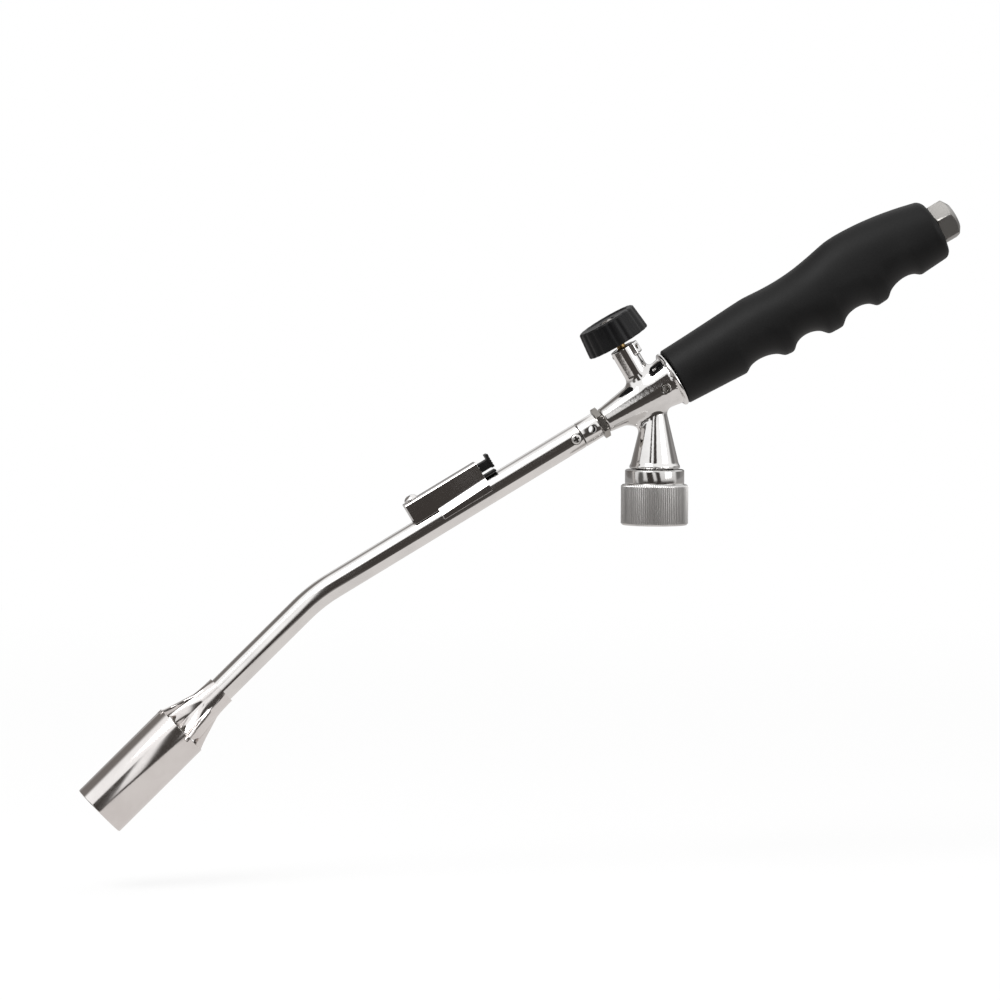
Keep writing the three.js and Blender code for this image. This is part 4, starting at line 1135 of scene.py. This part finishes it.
def floor():
    """A pale sheet that fades to white for the camera and to grey in the plating's reflections."""
    low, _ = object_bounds()
    mesh = bpy.data.meshes.new("floor")
    z = low.z - FLOOR_GAP
    far = FLOOR_FAR
    corners = [(-far, FLOOR_EDGE, z), (far, FLOOR_EDGE, z), (far, far, z), (-far, far, z)]
    mesh.from_pydata(corners, [], [(0, 1, 2, 3)])
    ground = placed("floor", mesh)
    material, tree, shader = new_material("floor_paper")
    shader.inputs["Base Color"].default_value = (0.86, 0.86, 0.86, 1)
    shader.inputs["Roughness"].default_value = 0.9
    glow = node(tree, "ShaderNodeEmission", Color=(1, 1, 1, 1), Strength=1.0)
    place = node(tree, "ShaderNodeNewGeometry")
    length = wired(tree, "ShaderNodeVectorMath", {0: place.outputs["Position"]}, operation="LENGTH")
    fade = remap(tree, length.outputs["Value"], 0.25, 1.6, 0.75, 1.0)
    blend = mix_shader(tree, fade, shader.outputs[0], glow.outputs[0])
    mirrored = node(tree, "ShaderNodeEmission", Strength=1.0)
    away = remap(tree, length.outputs["Value"], 0.3, 1.6, 0.0, 1.0)
    sheet = tint(tree, away, (0.72, 0.695, 0.68), (0.40, 0.39, 0.385))
    spot = separate(tree, place.outputs["Position"])
    for axis, limits, other, bounds in DARK_PATCHES:
        patch = within(tree, spot.outputs[axis], *limits, 0.02)
        patch = arithmetic(tree, "MULTIPLY", patch, within(tree, spot.outputs[other], *bounds, 0.04))
        sheet = over(tree, sheet, patch, (0.07, 0.063, 0.058))
    tree.links.new(sheet, mirrored.inputs["Color"])
    path = node(tree, "ShaderNodeLightPath")
    seen = mix_shader(tree, path.outputs["Is Glossy Ray"], blend, mirrored.outputs[0])
    tree.links.new(seen, tree.nodes["Material Output"].inputs["Surface"])
    ground.data.materials.append(material)
    ground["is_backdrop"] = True


def studio_world():
    """White round the torch: a low dark room and two dark strips in front, a grey wall behind."""
    world = bpy.data.worlds.new("studio")
    bpy.context.scene.world = world
    world.use_nodes = True
    tree = world.node_tree
    background = tree.nodes["Background"]
    direction = node(tree, "ShaderNodeTexCoord").outputs["Generated"]

    def dot_with(towards):
        dot = wired(tree, "ShaderNodeVectorMath", {0: direction}, operation="DOT_PRODUCT")
        dot.inputs[1].default_value = towards
        return dot.outputs["Value"]

    def cone_mask(towards, inner, outer):
        low, high = math.cos(math.radians(outer)), math.cos(math.radians(inner))
        return remap(tree, dot_with(Vector(towards).normalized()), low, high, 0, 1)

    def times(first, second):
        return arithmetic(tree, "MULTIPLY", first, second)

    front = -VIEW_RAY
    right = Vector((0, 0, 1)).cross(front).normalized()
    up = front.cross(right)
    slant = math.radians(31)  # the strips run along the torch's barrel
    depth = dot_with(front)
    beside = arithmetic(tree, "DIVIDE", dot_with(right * math.cos(slant) + up * math.sin(slant)), depth)
    above = arithmetic(tree, "DIVIDE", dot_with(-right * math.sin(slant) + up * math.cos(slant)), depth)
    ahead = remap(tree, depth, 0.2, 0.3, 0, 1)

    split = separate(tree, direction)
    height = remap(tree, split.outputs["Z"], -0.25, 0.3, 0.0, 1.0)
    surround = tint(tree, height, (0.62, 0.60, 0.59), (1.06, 1.06, 1.06))
    low_room = remap(tree, split.outputs["Z"], -0.05, 0.0, 1, 0)
    before = remap(tree, split.outputs["Y"], -0.45, -0.15, 1, 0)
    surround = over(tree, surround, times(low_room, before), (0.066, 0.06, 0.056))
    behind = remap(tree, split.outputs["Y"], 0.0, 0.4, 0, 1)
    back_wall = remap(tree, split.outputs["Z"], 0.12, 0.5, 1, 0)
    surround = over(tree, surround, times(back_wall, behind), (0.30, 0.29, 0.285))
    for towards, inner, outer, colour in (
        ((-0.72, 0.62, 0.5), 20, 36, (0.20, 0.185, 0.175)),
        ((0.35, 1, 0.2), 8, 16, (0.07, 0.067, 0.065)), ((1, 0.1, 0.15), 8, 20, (0.2, 0.195, 0.19)),
        ((-1, -0.45, 0.05), 7, 15, (0.14, 0.135, 0.13)),
    ):
        surround = over(tree, surround, cone_mask(towards, inner, outer), colour)
    for limits, bounds in (
        ((0.09, 0.34, 0.035), (-0.58, 0.50, 0.05)),
        ((-0.50, -0.09, 0.02), (-0.50, 0.66, 0.05)),
    ):
        strip = times(within(tree, beside, *limits), within(tree, above, *bounds))
        surround = over(tree, surround, times(strip, ahead), (0.054, 0.048, 0.044))
    seen = node(tree, "ShaderNodeLightPath")
    white = over(tree, surround, seen.outputs["Is Camera Ray"], (1, 1, 1))
    tree.links.new(white, background.inputs["Color"])


def lamp(name, place, size, power):
    """A square lamp aimed at the middle of the torch."""
    low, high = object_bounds()
    data = bpy.data.lights.new(name, "AREA")
    data.energy = power
    data.size = size
    light = placed(name, data)
    light.location = place
    light.rotation_euler = ((low + high) / 2 - Vector(place)).to_track_quat("-Z", "Y").to_euler()


# ---- build ----
camera()
floor()
studio_world()
lamp("key", (-0.9, -0.9, 1.5), 0.9, 16)
lamp("fill", (1.2, -1.2, 0.5), 0.8, 5)
for build in (
    coupling_nut, inlet_stem, inlet_small_pieces, valve_body, valve_trim, control_knob, knob_screw, lock_nut,
    air_collar, burner_tube, tube_screw, igniter_bracket, piezo_unit, igniter_button, igniter_screw,
    igniter_spring, ignition_lead, burner_neck, flame_tube, electrode, handle_grip, handle_cap_nut,
    handle_inner_pieces,
):
    build()

view = bpy.context.scene.view_settings
view.view_transform = "Standard"
view.look = "None"
